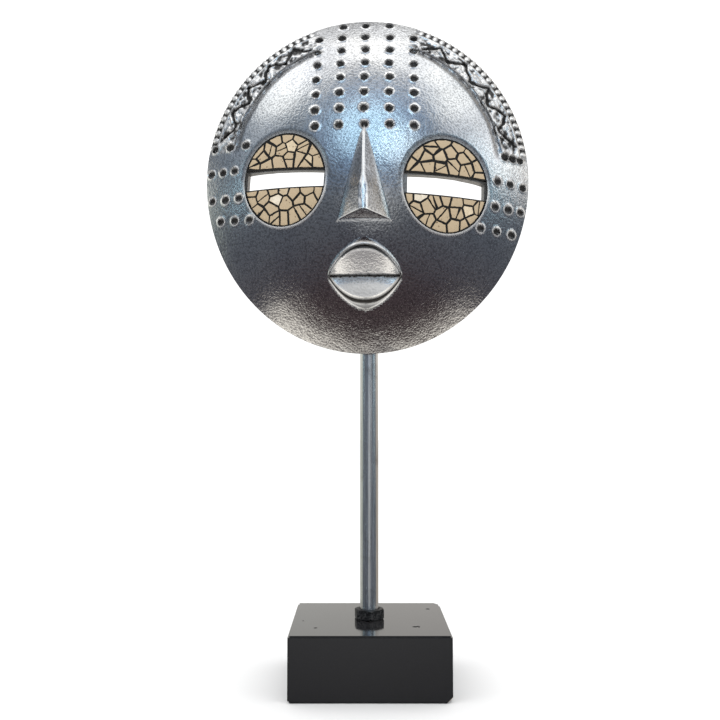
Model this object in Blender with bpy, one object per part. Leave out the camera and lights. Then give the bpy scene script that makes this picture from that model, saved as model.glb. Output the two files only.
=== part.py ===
"""A round cast metal mask with mosaic eyes, carried by a steel rod on a stone block.

Metres, +Z up. The face looks along -Y, and left and right are the viewer's.
The origin is the centre of the block's underside, on the rod's axis.
In the mask's own frame, u runs to the right, v up and w out of the face.
"""
import math
import random

import bmesh
import bpy
from mathutils import Matrix, Vector

MM = 0.001

# Block, rod and nut
BLOCK_WIDTH = 100 * MM
BLOCK_DEPTH = 100 * MM
BLOCK_HEIGHT = 40 * MM
BLOCK_CHAMFER = 1.5 * MM
ROD_DIAMETER = 12 * MM
ROD_SEAT_DEPTH = 25 * MM
NUT_ACROSS_FLATS = 18 * MM
NUT_HEIGHT = 6 * MM
NUT_CHAMFER = 1 * MM
NUT_TURN = math.radians(-22.5)
FIT_GAP = 0.3 * MM

# Mask: outline, dome and pose
MASK_HALF_WIDTH = 107 * MM
MASK_RISE = 108.5 * MM
MASK_FALL = 115 * MM
WIDEST_HEIGHT = 328.5 * MM
DOME_DEPTH = 45 * MM
WALL = 7 * MM
RIM_THICKNESS = 4 * MM
RIM_TO_ROD = 1 * MM
MASK_SHIFT = -1.8 * MM
MASK_YAW = math.radians(-2.5)

# The features at the sides sit lower towards the right by this share of their distance from the middle
SIDE_LEAN = 0.05

# Eyes: oval pockets with a mosaic above and below a slit
EYE_SPACING = 102 * MM
EYE_HEIGHT = -9.3 * MM
EYE_HALF_WIDTH = 27.2 * MM
EYE_HALF_HEIGHT = 29.8 * MM
POCKET_DEPTH = 4 * MM
SLIT_HEIGHT = 12.2 * MM
SLIT_RISE_OUTWARD = math.radians(1.6)

# From the eye's middle to the slit's ends, towards the nose and towards the temple
SLIT_REACH = {-1: (-25.8 * MM, 26.3 * MM), 1: (-24.3 * MM, 26.3 * MM)}

# How much a slit's lower edge rises towards the nose
SLIT_NOSE_LIFT = {-1: 2 * MM, 1: 0.0}

# What the slit loses towards the back: its temple end closes in and its top wall sinks at either end
SLIT_END_SLOPE = {-1: 0.26, 1: 0.42}
SLIT_TOP_SLOPE = {-1: (0.14, 0.2), 1: (0.2, 0.33)}

# Mosaics: chips stand proud of a grout bed, and their keys reach down into it
CHIP_RECESS = 0.9 * MM
CHIP_PROUD = 0.7 * MM
CHIP_KEY = 0.9 * MM
CHIP_SPACING = 7 * MM
CHIP_SPACING_SPREAD = (0.72, 1.3)
CHIP_TRIES = 500
CHIP_SMALLEST_AREA = 5 * MM * MM
CHIP_SHORTEST_SIDE = 1.3 * MM
CHIP_INSETS = (0.4 * MM, 0.85 * MM)
INLAY_MARGIN = 1.1 * MM
BED_SIDE = 9 * MM

# Nose: a wedge that grows down from its apex
NOSE_TOP = 20 * MM
NOSE_BOTTOM = -35 * MM
NOSE_HALF_WIDTH = 17 * MM
NOSE_DEPTH = 20 * MM
NOSE_TIP_RISE = 3 * MM
NOSE_RIDGE = 2.6 * MM

# What the nose keeps of its width, ridge and depth at its apex
NOSE_APEX_WIDTH = 0.12
NOSE_APEX_RIDGE = 0.25
NOSE_APEX_DEPTH = 0.06

# The bend in each flank and the edge of the ridge, as shares of the nose's half width and depth
NOSE_FLANK = (0.55, 0.56)
NOSE_RIDGE_EDGE = 0.97

# Mouth: a boss that comes to a point at either side, with almond lips
MOUTH_HEIGHT = -66.5 * MM
MOUTH_HALF_WIDTH = 23.6 * MM
MOUTH_HALF_HEIGHT = 21.8 * MM
MOUTH_DEPTH = 9 * MM
MOUTH_ROUNDNESS = 1.5
MOUTH_CROWN = 3.2
LIPS_HALF_WIDTH = 22.8 * MM
LIPS_RISE = 15.5 * MM
LIPS_FALL = 14.5 * MM
LIPS_ROUNDNESS = 2.3
LIPS_LINE = -1.5 * MM
LIPS_LINE_DEPTH = 0.35
LOWER_LIP_SWELL = 0.8
LIPS_SPLIT = 1.6 * MM
LIPS_SPLIT_REACH = 0.96
LIPS_GROOVE = 1.6 * MM

# Pits: five columns on the forehead and a patch on each temple
PIT_RADIUS = 2.8 * MM
PIT_DEPTH = 2.4 * MM
PIT_SIDES = 6
PIT_COLUMNS = 5
PIT_COLUMN_SPACING = 15.6 * MM
PIT_ROWS = 8
PIT_ROW_SPACING = 11.3 * MM
PIT_FIRST_ROW = 25 * MM

# Each temple row's height, and how far out its first and last pits lie as shares of the outline
TEMPLE_ROWS = {
    -1: (
        (20.1 * MM, 0.745, 0.962), (4 * MM, 0.795, 0.965),
        (-14.2 * MM, 0.78, 0.965), (-28.7 * MM, 0.743, 0.93),
    ),
    1: (
        (11.2 * MM, 0.85, 0.945), (-5.8 * MM, 0.795, 0.96),
        (-22.2 * MM, 0.8, 0.962), (-36.9 * MM, 0.754, 0.946),
    ),
}
TEMPLE_COLUMNS = 3
TEMPLE_LEAN = 0.08

# Side bands: from the top round to each temple, in degrees from straight up, and shares of the outline
BAND_START = 22
BAND_ENDS = {-1: 76, 1: 80}
BAND_FADE = 5
BAND_INSIDE = 0.83
BAND_SLOPE_START = 0.78
BAND_FLOOR_START = 0.822
BAND_FLOOR_END = 0.836
BAND_GROOVE_DEPTH = 1.3 * MM
ZIGZAG_INSIDE = 0.852
ZIGZAG_OUTSIDE = 0.93
ZIGZAG_BENDS = 9
ZIGZAG_MARGIN = 2
ZIGZAG_LIFT = 0.6 * MM
ZIGZAG_WIDTH = 2.4 * MM
ZIGZAG_DEPTH = 1.2 * MM
BORDER_INSIDE = 0.955
BORDER_RIDGE = 0.7 * MM
BORDER_RIDGE_SHARE = 0.945
BORDER_RIDGE_HALF_WIDTH = 0.01
BEAD_PITCH = 5.2 * MM
BEAD_NOTCH_WIDTH = 1.4 * MM
BEAD_NOTCH_DEPTH = 1.2 * MM

# Socket on the mask's back, which takes the rod
SOCKET_RADIUS = 11 * MM
SOCKET_BELOW_WIDEST = 92 * MM
SOCKET_BORE_DEPTH = 30 * MM
SOCKET_CAP = 6 * MM
SOCKET_WEB = 14 * MM
SOCKET_WEB_INSET = 0.02

# How finely the round shapes are faceted
RING_SHARES = (
    0.16, 0.32, 0.47, 0.6, 0.71, 0.79, BAND_FLOOR_START, BAND_FLOOR_END,
    BORDER_RIDGE_SHARE - BORDER_RIDGE_HALF_WIDTH, BORDER_RIDGE_SHARE, BORDER_INSIDE, 1.0,
)
BACK_SHARES = (0.97, 0.72, 0.45, 0.2)
SEGMENTS = 48
ROUND_SIDES = 24

RIM_PLANE = -(ROD_DIAMETER / 2 + RIM_TO_ROD + RIM_THICKNESS)
SOCKET_BOTTOM = WIDEST_HEIGHT - SOCKET_BELOW_WIDEST
SOCKET_TOP = SOCKET_BOTTOM + SOCKET_BORE_DEPTH + SOCKET_CAP
ROD_BOTTOM = BLOCK_HEIGHT - ROD_SEAT_DEPTH
ROD_TOP = SOCKET_BOTTOM + SOCKET_BORE_DEPTH - FIT_GAP
ROD_HOLE_RADIUS = ROD_DIAMETER / 2 + FIT_GAP


def clear_scene():
    for obj in list(bpy.data.objects):
        bpy.data.objects.remove(obj, do_unlink=True)


def material(name, colour, roughness, metallic):
    made = bpy.data.materials.new(name)
    made.use_nodes = True
    shader = made.node_tree.nodes["Principled BSDF"]
    shader.inputs["Base Color"].default_value = (*colour, 1)
    shader.inputs["Roughness"].default_value = roughness
    shader.inputs["Metallic"].default_value = metallic
    made.diffuse_color = (*colour, 1)
    return made


def finish_object(name, bm, parent=None, finish=None, smooth_angle=35):
    """Makes the object from a closed mesh. With no finish it is a tool that only shapes others."""
    bmesh.ops.recalc_face_normals(bm, faces=bm.faces)
    mesh = bpy.data.meshes.new(name)
    bm.to_mesh(mesh)
    bm.free()
    obj = bpy.data.objects.new(name, mesh)
    bpy.context.scene.collection.objects.link(obj)
    obj.parent = parent
    if finish is None:
        obj.hide_render = True
        obj.display_type = "WIRE"
    else:
        mesh.materials.append(finish)
        mesh.shade_smooth()
        mesh.set_sharp_from_angle(angle=math.radians(smooth_angle))
    return obj


def boolean(obj, operation, tool):
    step = obj.modifiers.new(f"{operation.lower()} {tool.name}", "BOOLEAN")
    step.operation = operation
    step.object = tool
    step.solver = "EXACT"


def add_cylinder(bm, radius, bottom, top, sides=ROUND_SIDES, matrix=None, turn=0.0):
    """Adds a closed cylinder along Z between two heights."""
    middle = Matrix.Translation((0, 0, (bottom + top) / 2)) @ Matrix.Rotation(turn, 4, "Z")
    bmesh.ops.create_cone(
        bm, cap_ends=True, segments=sides, radius1=radius, radius2=radius, depth=top - bottom,
        matrix=(matrix or Matrix.Identity(4)) @ middle,
    )


def add_box(bm, size, matrix):
    bmesh.ops.create_cube(bm, size=1, matrix=matrix @ Matrix.Diagonal((*size, 1)))


# The mask's surface

def outline_radius(angle):
    """Distance from the middle to the outline, at an angle from straight up, positive to the right."""
    across = math.sin(angle) / MASK_HALF_WIDTH
    along = math.cos(angle) / (MASK_RISE if math.cos(angle) > 0 else MASK_FALL)
    return 1 / math.hypot(across, along)


def share_and_turn(u, v):
    """How far out a point lies, as a share of the outline, and its turn from straight up in degrees."""
    across = u / MASK_HALF_WIDTH
    along = v / (MASK_RISE if v > 0 else MASK_FALL)
    return math.hypot(across, along), math.degrees(math.atan2(across, along))


def on_outline(share, turn):
    """The u and v of a point at this share of the outline and turn from straight up, in degrees."""
    angle = math.radians(turn)
    height = MASK_RISE if math.cos(angle) > 0 else MASK_FALL
    return share * MASK_HALF_WIDTH * math.sin(angle), share * height * math.cos(angle)


def dome(u, v):
    share, _ = share_and_turn(u, v)
    return DOME_DEPTH * (1 - share * share)


def inner_dome(u, v):
    """The inside of the casting, one wall behind the dome."""
    share, _ = share_and_turn(u, v)
    radius = outline_radius(math.atan2(u, v))
    slope = 2 * DOME_DEPTH * share / radius
    return dome(u, v) - WALL * math.hypot(1, slope)


def ease(start, end, value):
    """Rises smoothly from 0 at start to 1 at end."""
    t = min(max((value - start) / (end - start), 0), 1)
    return t * t * (3 - 2 * t)


def in_band(turn):
    """1 along a side band, fading out at both of its ends."""
    end = BAND_ENDS[1 if turn > 0 else -1]
    away = abs(turn)
    return ease(BAND_START - BAND_FADE, BAND_START, away) * (1 - ease(end, end + BAND_FADE, away))


def front(u, v):
    """The face's surface: the dome, with a groove inside each side band and a ridge inside its border."""
    share, turn = share_and_turn(u, v)
    groove = ease(BAND_SLOPE_START, BAND_FLOOR_START, share) * (1 - ease(BAND_INSIDE, BAND_FLOOR_END, share))
    ridge = max(0.0, 1 - abs(share - BORDER_RIDGE_SHARE) / BORDER_RIDGE_HALF_WIDTH)
    return dome(u, v) + in_band(turn) * (BORDER_RIDGE * ridge - BAND_GROOVE_DEPTH * groove)


def at(u, v, w):
    """A point of the mask's frame, as object coordinates."""
    return Vector((u, -w, v))


def surface_frame(u, v):
    """A frame on the dome, with Z straight out of it and X level."""
    step = 0.5 * MM
    across = at(u + step, v, dome(u + step, v)) - at(u - step, v, dome(u - step, v))
    along = at(u, v + step, dome(u, v + step)) - at(u, v - step, dome(u, v - step))
    out = across.cross(along).normalized()
    level = across.normalized()
    frame = Matrix((level, out.cross(level), out)).transposed().to_4x4()
    return Matrix.Translation(at(u, v, dome(u, v))) @ frame


def add_ring(bm, points):
    return [bm.verts.new(point) for point in points]


def bridge(bm, first, second):
    count = len(first)
    for i in range(count):
        j = (i + 1) % count
        bm.faces.new((first[i], first[j], second[j], second[i]))


def close_ring(bm, ring, middle):
    centre = bm.verts.new(middle)
    for i in range(len(ring)):
        bm.faces.new((ring[i], ring[(i + 1) % len(ring)], centre))


def inside_edge(turn):
    """The share of the outline where the inside of the casting meets the flat back of the rim."""
    low, high = 0.5, 1.0
    for _ in range(30):
        middle = (low + high) / 2
        if inner_dome(*on_outline(middle, turn)) > -RIM_THICKNESS:
            low = middle
        else:
            high = middle
    return low


def mask_shell():
    """The bare casting: a hollow dome with a flat back to its rim."""
    bm = bmesh.new()
    turns = [360 * i / SEGMENTS - 180 for i in range(SEGMENTS)]
    edges = [inside_edge(turn) for turn in turns]

    def ring(shares, height):
        spots = [on_outline(share, turn) for share, turn in zip(shares, turns)]
        return add_ring(bm, [at(u, v, height(u, v)) for u, v in spots])

    rings = [ring([share] * SEGMENTS, front) for share in RING_SHARES]
    rings.append(ring([1] * SEGMENTS, lambda u, v: -RIM_THICKNESS))
    rings.append(ring(edges, lambda u, v: -RIM_THICKNESS))
    rings += [ring([share * edge for edge in edges], inner_dome) for share in BACK_SHARES]
    for first, second in zip(rings, rings[1:]):
        bridge(bm, first, second)
    close_ring(bm, rings[0], at(0, 0, front(0, 0)))
    close_ring(bm, rings[-1], at(0, 0, inner_dome(0, 0)))
    return bm


def add_pad(bm, outline, bottom, top, rings=0):
    """Adds a closed solid over a convex outline in u and v, between two surfaces."""
    middle_u = sum(u for u, _ in outline) / len(outline)
    middle_v = sum(v for _, v in outline) / len(outline)

    def ring(surface, share):
        spots = [(middle_u + (u - middle_u) * share, middle_v + (v - middle_v) * share) for u, v in outline]
        return add_ring(bm, [at(u, v, surface(u, v)) for u, v in spots])

    shares = [1 - i / (rings + 1) for i in range(rings + 1)]
    low = [ring(bottom, share) for share in shares]
    high = [ring(top, share) for share in shares]
    bridge(bm, low[0], high[0])
    for layers in (low, high):
        for first, second in zip(layers, layers[1:]):
            bridge(bm, first, second)
    close_ring(bm, low[-1], at(middle_u, middle_v, bottom(middle_u, middle_v)))
    close_ring(bm, high[-1], at(middle_u, middle_v, top(middle_u, middle_v)))


# Eyes

def eye_centre(side):
    u = side * EYE_SPACING / 2
    return u, EYE_HEIGHT - SIDE_LEAN * u


def slit_tilt(side):
    """How far the slit is turned up towards the right."""
    return side * SLIT_RISE_OUTWARD - math.atan(SIDE_LEAN)


def oval(side, margin, sides=32):
    centre_u, centre_v = eye_centre(side)
    half_u, half_v = EYE_HALF_WIDTH - margin, EYE_HALF_HEIGHT - margin
    angles = [2 * math.pi * i / sides for i in range(sides)]
    return [(centre_u + half_u * math.cos(a), centre_v + half_v * math.sin(a)) for a in angles]


def clip(polygon, point, normal):
    """The part of a convex polygon on the side that the normal points to."""
    kept = []
    for i, here in enumerate(polygon):
        there = polygon[(i + 1) % len(polygon)]
        a = (here[0] - point[0]) * normal[0] + (here[1] - point[1]) * normal[1]
        b = (there[0] - point[0]) * normal[0] + (there[1] - point[1]) * normal[1]
        if a >= 0:
            kept.append(here)
        if (a < 0) != (b < 0):
            t = a / (a - b)
            kept.append((here[0] + (there[0] - here[0]) * t, here[1] + (there[1] - here[1]) * t))
    return kept


def with_short_sides(polygon, longest):
    """The same outline with points added, so that it can follow the dome."""
    points = []
    for i, here in enumerate(polygon):
        there = polygon[(i + 1) % len(polygon)]
        count = math.ceil(math.dist(here, there) / longest)
        points += [tuple(here[k] + (there[k] - here[k]) * j / count for k in (0, 1)) for j in range(count)]
    return points


def area(polygon):
    total = 0.0
    for i, (u, v) in enumerate(polygon):
        next_u, next_v = polygon[(i + 1) % len(polygon)]
        total += u * next_v - next_u * v
    return abs(total) / 2


def slit_end(side, end, upper):
    """One corner of a slit, in u and v. End is 0 towards the nose and 1 towards the temple."""
    tilt = slit_tilt(side)
    centre_u, centre_v = eye_centre(side)
    along = side * SLIT_REACH[side][end]
    away = upper * SLIT_HEIGHT / 2
    if upper < 0 and end == 0:
        away += SLIT_NOSE_LIFT[side]
    u = centre_u + along * math.cos(tilt) - away * math.sin(tilt)
    return u, centre_v + along * math.sin(tilt) + away * math.cos(tilt)


def half_eye(side, upper, margin):
    """The outline of the mosaic above or below the slit, going round against the clock."""
    left, right = sorted(slit_end(side, end, upper) for end in (0, 1))
    length = math.dist(left, right)
    normal = (upper * (left[1] - right[1]) / length, upper * (right[0] - left[0]) / length)
    point = (left[0] + normal[0] * margin, left[1] + normal[1] * margin)
    return clip(oval(side, margin), point, normal)


def holds(outline, spot):
    """Whether a convex outline that goes round against the clock holds a point."""
    return all(
        (b[0] - a[0]) * (spot[1] - a[1]) > (b[1] - a[1]) * (spot[0] - a[0])
        for a, b in zip(outline, outline[1:] + outline[:1])
    )


def chip_seeds(outline, rng):
    """Scattered points inside an outline, each with room of its own round it."""
    across, along = ([point[k] for point in outline] for k in (0, 1))
    seeds = []
    for _ in range(CHIP_TRIES):
        spot = (rng.uniform(min(across), max(across)), rng.uniform(min(along), max(along)))
        room = CHIP_SPACING * rng.uniform(*CHIP_SPACING_SPREAD)
        if holds(outline, spot) and all(math.dist(spot, seed) > room for seed in seeds):
            seeds.append(spot)
    return seeds


def shatter(outline, rng):
    """Fills an outline with convex chips: each takes what lies nearest to its seed, less half a joint."""
    seeds = chip_seeds(outline, rng)
    chips = []
    for seed in seeds:
        inset = rng.uniform(*CHIP_INSETS)
        chip = outline
        for other in seeds:
            if other != seed:
                away = math.dist(seed, other)
                normal = [(seed[k] - other[k]) / away for k in (0, 1)]
                point = [(seed[k] + other[k]) / 2 + normal[k] * inset for k in (0, 1)]
                chip = clip(chip, point, normal)
        chips.append(chip)
    return chips


def without_slivers(chips):
    """Drops chips too small to lay, and points closer together than a tile cutter leaves them."""
    kept = []
    for chip in chips:
        points = [p for i, p in enumerate(chip) if math.dist(p, chip[i - 1]) > CHIP_SHORTEST_SIDE]
        if len(points) > 2 and area(points) > CHIP_SMALLEST_AREA:
            kept.append(points)
    return kept


def eye_inlay(name, side, upper, parent, finish):
    """One mosaic: a grout bed in the pocket, with its chips standing proud of it."""
    def bed_bottom(u, v):
        return dome(u, v) - POCKET_DEPTH + FIT_GAP

    def bed_top(u, v):
        return dome(u, v) - CHIP_RECESS - CHIP_PROUD

    def chip_top(u, v):
        return dome(u, v) - CHIP_RECESS

    bed = bmesh.new()
    outline = with_short_sides(half_eye(side, upper, FIT_GAP), BED_SIDE)
    add_pad(bed, outline, bed_bottom, bed_top, rings=1)
    inlay = finish_object(name, bed, parent, finish, smooth_angle=20)
    chips = bmesh.new()
    rng = random.Random(f"{side} {upper}")
    for chip in without_slivers(shatter(half_eye(side, upper, INLAY_MARGIN), rng)):
        add_pad(chips, chip, lambda u, v: bed_top(u, v) - CHIP_KEY, chip_top)
    boolean(inlay, "UNION", finish_object(f"{name} chips", chips, parent))
    return inlay


def eye_pockets(parent):
    def floor(u, v):
        return dome(u, v) - POCKET_DEPTH

    def above(u, v):
        return dome(u, v) + WALL

    bm = bmesh.new()
    for side in (-1, 1):
        add_pad(bm, oval(side, 0), floor, above, rings=1)
    return finish_object("eye pockets", bm, parent)


def slit_corner(side, end, upper, depth):
    """One corner of a slit at a depth below the dome."""
    u, v = slit_end(side, end, upper)
    closing = side * SLIT_END_SLOPE[side] * depth if end == 1 else 0.0
    sinking = SLIT_TOP_SLOPE[side][end] * depth if upper == 1 else 0.0
    return at(u - closing, v - sinking, dome(u, v) - depth)


def eye_slits(parent):
    """Slots right through the wall, which narrow towards the back."""
    bm = bmesh.new()
    corners = ((0, -1), (1, -1), (1, 1), (0, 1))
    for side in (-1, 1):
        rings = [
            add_ring(bm, [slit_corner(side, end, upper, depth) for end, upper in corners])
            for depth in (-WALL, 3 * WALL)
        ]
        bridge(bm, *rings)
        for ring in rings:
            bm.faces.new(ring)
    return finish_object("eye slits", bm, parent)


# Nose and mouth

def nose(parent):
    """A wedge from its apex to a flared base, with a narrow flat ridge and an open underside."""
    bm = bmesh.new()
    stations = 6
    rings = []
    for i in range(1, stations + 1):
        grown = i / stations
        v = NOSE_TOP + (NOSE_BOTTOM - NOSE_TOP) * grown
        half = NOSE_HALF_WIDTH * (NOSE_APEX_WIDTH + (1 - NOSE_APEX_WIDTH) * grown)
        ridge = NOSE_RIDGE * (NOSE_APEX_RIDGE + (1 - NOSE_APEX_RIDGE) * grown)
        proud = NOSE_DEPTH * (NOSE_APEX_DEPTH + (1 - NOSE_APEX_DEPTH) * grown)
        lift = NOSE_TIP_RISE * ease(0.8, 1, grown)
        flank, flank_proud = NOSE_FLANK[0] * half, NOSE_FLANK[1] * proud
        right = ((ridge, NOSE_RIDGE_EDGE * proud), (flank, flank_proud), (half, 0.0), (half, -0.5 * WALL))
        spots = [(-u, out) for u, out in reversed(right)] + [(0.0, proud)] + list(right)
        rings.append(add_ring(bm, [
            at(u, v + lift * max(out, 0.0) / proud, dome(u, v) + out) for u, out in spots
        ]))
    for first, second in zip(rings, rings[1:]):
        bridge(bm, first, second)
    apex = NOSE_TOP + (NOSE_TOP - NOSE_BOTTOM) / stations / 2
    close_ring(bm, rings[0], at(0, apex, dome(0, apex) - 0.5 * MM))
    bm.faces.new(rings[-1])
    return finish_object("nose", bm, parent)


def boss_share(x, y):
    """How far out a point lies from the boss's middle, as a share of its outline."""
    across = (abs(x) / MOUTH_HALF_WIDTH) ** MOUTH_ROUNDNESS
    along = (abs(y) / MOUTH_HALF_HEIGHT) ** MOUTH_ROUNDNESS
    return (across + along) ** (1 / MOUTH_ROUNDNESS)


def lip_edge(x, y):
    """Height of the almond's edge above or below the line of the lips, at a distance x from its middle."""
    reach = LIPS_RISE if y > 0 else LIPS_FALL
    return reach * (1 - min(abs(x) / LIPS_HALF_WIDTH, 1) ** LIPS_ROUNDNESS)


def mouth_proud(x, y):
    """How far the mouth stands out of the dome, from the boss's middle."""
    boss = MOUTH_DEPTH * (1 - min(boss_share(x, y), 1) ** MOUTH_CROWN)
    up = y - LIPS_LINE
    edge = lip_edge(x, up)
    if edge <= 0 or abs(up) >= edge:
        return boss
    swell = abs(up) / edge
    if up < 0:
        swell = swell ** LOWER_LIP_SWELL
    thinning = 1 - 0.5 * abs(x / LIPS_HALF_WIDTH) ** 3
    return MOUTH_DEPTH * (LIPS_LINE_DEPTH + (1 - LIPS_LINE_DEPTH) * swell) * thinning


def mouth(parent):
    """The boss with almond lips inside a groove, in rings from the middle of the lips outwards."""
    bm = bmesh.new()
    sides = 36
    lip_shares = (0.35, 0.7, 0.96)
    slope_shares = (0.35, 0.75)
    step = 0.1 * MM
    rings = [[] for _ in range(len(lip_shares) + len(slope_shares) + 3)]
    for i in range(sides):
        angle = 2 * math.pi * i / sides
        along_u, along_v = math.cos(angle), math.sin(angle)
        boss = 1 / boss_share(along_u, along_v)
        almond = 0.0
        while almond < 0.9 * boss and abs(along_v * almond) < lip_edge(along_u * almond, along_v):
            almond += step
        room = boss - almond
        groove = almond + min(0.6 * MM, 0.2 * room)
        reaches = [(share * almond, 0.0) for share in lip_shares] + [(groove, LIPS_GROOVE)]
        reaches += [(almond + share * room, 0.0) for share in slope_shares] + [(boss, 0.0)]
        for ring, (reach, sunk) in zip(rings, reaches):
            x, y = along_u * reach, along_v * reach + LIPS_LINE * (1 - reach / boss)
            proud = 0.0 if reach == boss else mouth_proud(x, y) - sunk
            v = MOUTH_HEIGHT + y
            ring.append(bm.verts.new(at(x, v, dome(x, v) + proud)))
        u, v = along_u * boss, MOUTH_HEIGHT + along_v * boss
        rings[-1].append(bm.verts.new(at(u, v, dome(u, v) - 0.5 * WALL)))
    for first, second in zip(rings, rings[1:]):
        bridge(bm, first, second)
    middle = MOUTH_HEIGHT + LIPS_LINE
    close_ring(bm, rings[0], at(0, middle, dome(0, middle) + mouth_proud(0, LIPS_LINE)))
    close_ring(bm, rings[-1], at(0, MOUTH_HEIGHT, dome(0, MOUTH_HEIGHT) - 0.5 * WALL))
    return finish_object("mouth", bm, parent)


def lip_split(parent):
    """A shallow V along the line where the lips meet."""
    bm = bmesh.new()
    reach = LIPS_HALF_WIDTH * LIPS_SPLIT_REACH
    steps = 4
    v = MOUTH_HEIGHT + LIPS_LINE
    rows = []
    for i in range(-steps, steps + 1):
        u = reach * i / steps
        floor = dome(u, v) + mouth_proud(u, LIPS_LINE)
        half = LIPS_SPLIT / 2
        rows.append(add_ring(bm, [
            at(u, v - LIPS_SPLIT, floor + half), at(u, v + LIPS_SPLIT, floor + half),
            at(u, v, floor - LIPS_SPLIT),
        ]))
    for first, second in zip(rows, rows[1:]):
        bridge(bm, first, second)
    bm.faces.new(rows[0])
    bm.faces.new(rows[-1])
    return finish_object("lip split", bm, parent)


# Pits, zigzag and beads

def forehead_pits():
    """Columns of pits from the nose up to the rim, each column keeping inside the outline."""
    spots = []
    for column in range(PIT_COLUMNS):
        u = (column - (PIT_COLUMNS - 1) / 2) * PIT_COLUMN_SPACING
        for row in range(PIT_ROWS):
            v = PIT_FIRST_ROW + row * PIT_ROW_SPACING
            if share_and_turn(u, v)[0] < 0.98:
                spots.append((u, v))
    return spots


def temple_pits(side):
    """Rows of pits between the eye and the rim."""
    spots = []
    for level, inner, outer in TEMPLE_ROWS[side]:
        for column in range(TEMPLE_COLUMNS):
            share = inner + (outer - inner) * column / (TEMPLE_COLUMNS - 1)
            v = level - TEMPLE_LEAN * side * (share - (inner + outer) / 2) * MASK_HALF_WIDTH
            height = MASK_RISE if v > 0 else MASK_FALL
            spots.append((side * MASK_HALF_WIDTH * math.sqrt(share ** 2 - (v / height) ** 2), v))
    return spots


def pits(parent):
    bm = bmesh.new()
    for u, v in forehead_pits() + temple_pits(-1) + temple_pits(1):
        add_cylinder(bm, PIT_RADIUS, -PIT_DEPTH, PIT_DEPTH, sides=PIT_SIDES, matrix=surface_frame(u, v))
    return finish_object("pits", bm, parent)


def zigzag(side, parent):
    """A V groove that runs to and fro along one side band."""
    start, end = BAND_START + ZIGZAG_MARGIN, BAND_ENDS[side] - ZIGZAG_MARGIN
    path = []
    for i in range(ZIGZAG_BENDS + 1):
        share = ZIGZAG_INSIDE if i % 2 == 0 else ZIGZAG_OUTSIDE
        path.append(on_outline(share, side * (start + (end - start) * i / ZIGZAG_BENDS)))
    bm = bmesh.new()
    rows = []
    for i, (u, v) in enumerate(path):
        before = Vector(path[max(i - 1, 0)])
        after = Vector(path[min(i + 1, len(path) - 1)])
        here = Vector((u, v))
        ways = [way.normalized() for way in (here - before, after - here) if way.length > 0]
        along = sum(ways, Vector((0, 0))).normalized()
        across = Vector((-along.y, along.x))
        mitre = 1 / max(abs(across.dot(Vector((-ways[0].y, ways[0].x)))), 0.5)
        half = ZIGZAG_WIDTH / 2 * mitre
        near, far = here - across * half, here + across * half
        rows.append(add_ring(bm, [
            at(*near, dome(*near) + ZIGZAG_LIFT), at(*far, dome(*far) + ZIGZAG_LIFT),
            at(u, v, dome(u, v) - ZIGZAG_DEPTH),
        ]))
    for first, second in zip(rows, rows[1:]):
        bridge(bm, first, second)
    bm.faces.new(rows[0])
    bm.faces.new(rows[-1])
    return finish_object(f"zigzag {side}", bm, parent)


def bead_notches(parent):
    """V notches across each band's border, which leave a row of square beads along the rim."""
    bm = bmesh.new()
    for side in (-1, 1):
        span = math.radians(BAND_ENDS[side] - BAND_START) * MASK_HALF_WIDTH
        count = round(span / BEAD_PITCH)
        for i in range(count + 1):
            turn = side * (BAND_START + (BAND_ENDS[side] - BAND_START) * i / count)
            rows = []
            for share in (BORDER_INSIDE + 0.004, 1.03):
                u, v = on_outline(share, turn)
                across = Vector(on_outline(share, turn + 1)) - Vector((u, v))
                aside = across.normalized() * BEAD_NOTCH_WIDTH
                rows.append(add_ring(bm, [
                    at(u - aside.x, v - aside.y, dome(u, v) + BEAD_NOTCH_DEPTH),
                    at(u + aside.x, v + aside.y, dome(u, v) + BEAD_NOTCH_DEPTH),
                    at(u, v, dome(u, v) - BEAD_NOTCH_DEPTH),
                ]))
            bridge(bm, *rows)
            bm.faces.new(rows[0])
            bm.faces.new(rows[1])
    return finish_object("bead notches", bm, parent)


# The socket on the mask's back, which stands on the rod's own axis

def rod_socket():
    """A round socket with a web that runs forward into the wall of the casting."""
    bm = bmesh.new()
    add_cylinder(bm, SOCKET_RADIUS, SOCKET_BOTTOM, SOCKET_TOP)
    return finish_object("rod socket", bm)


def socket_web():
    bm = bmesh.new()
    steps = 4
    spots = []
    tall = SOCKET_TOP - SOCKET_BOTTOM
    for i in range(steps + 1):
        z = SOCKET_BOTTOM + tall * (SOCKET_WEB_INSET + (1 - 2 * SOCKET_WEB_INSET) * i / steps)
        v = z - WIDEST_HEIGHT
        spots.append((RIM_PLANE - (dome(0, v) + inner_dome(0, v)) / 2, z))
    spots += [(0, spots[-1][1]), (0, spots[0][1])]
    sides = [add_ring(bm, [Vector((x, y, z)) for y, z in spots]) for x in (-SOCKET_WEB / 2, SOCKET_WEB / 2)]
    bridge(bm, *sides)
    for side in sides:
        bm.faces.new(side)
    return finish_object("socket web", bm)


def rod_bore():
    bm = bmesh.new()
    add_cylinder(bm, ROD_HOLE_RADIUS, SOCKET_BOTTOM - WALL, SOCKET_BOTTOM + SOCKET_BORE_DEPTH)
    return finish_object("socket bore", bm)


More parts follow.
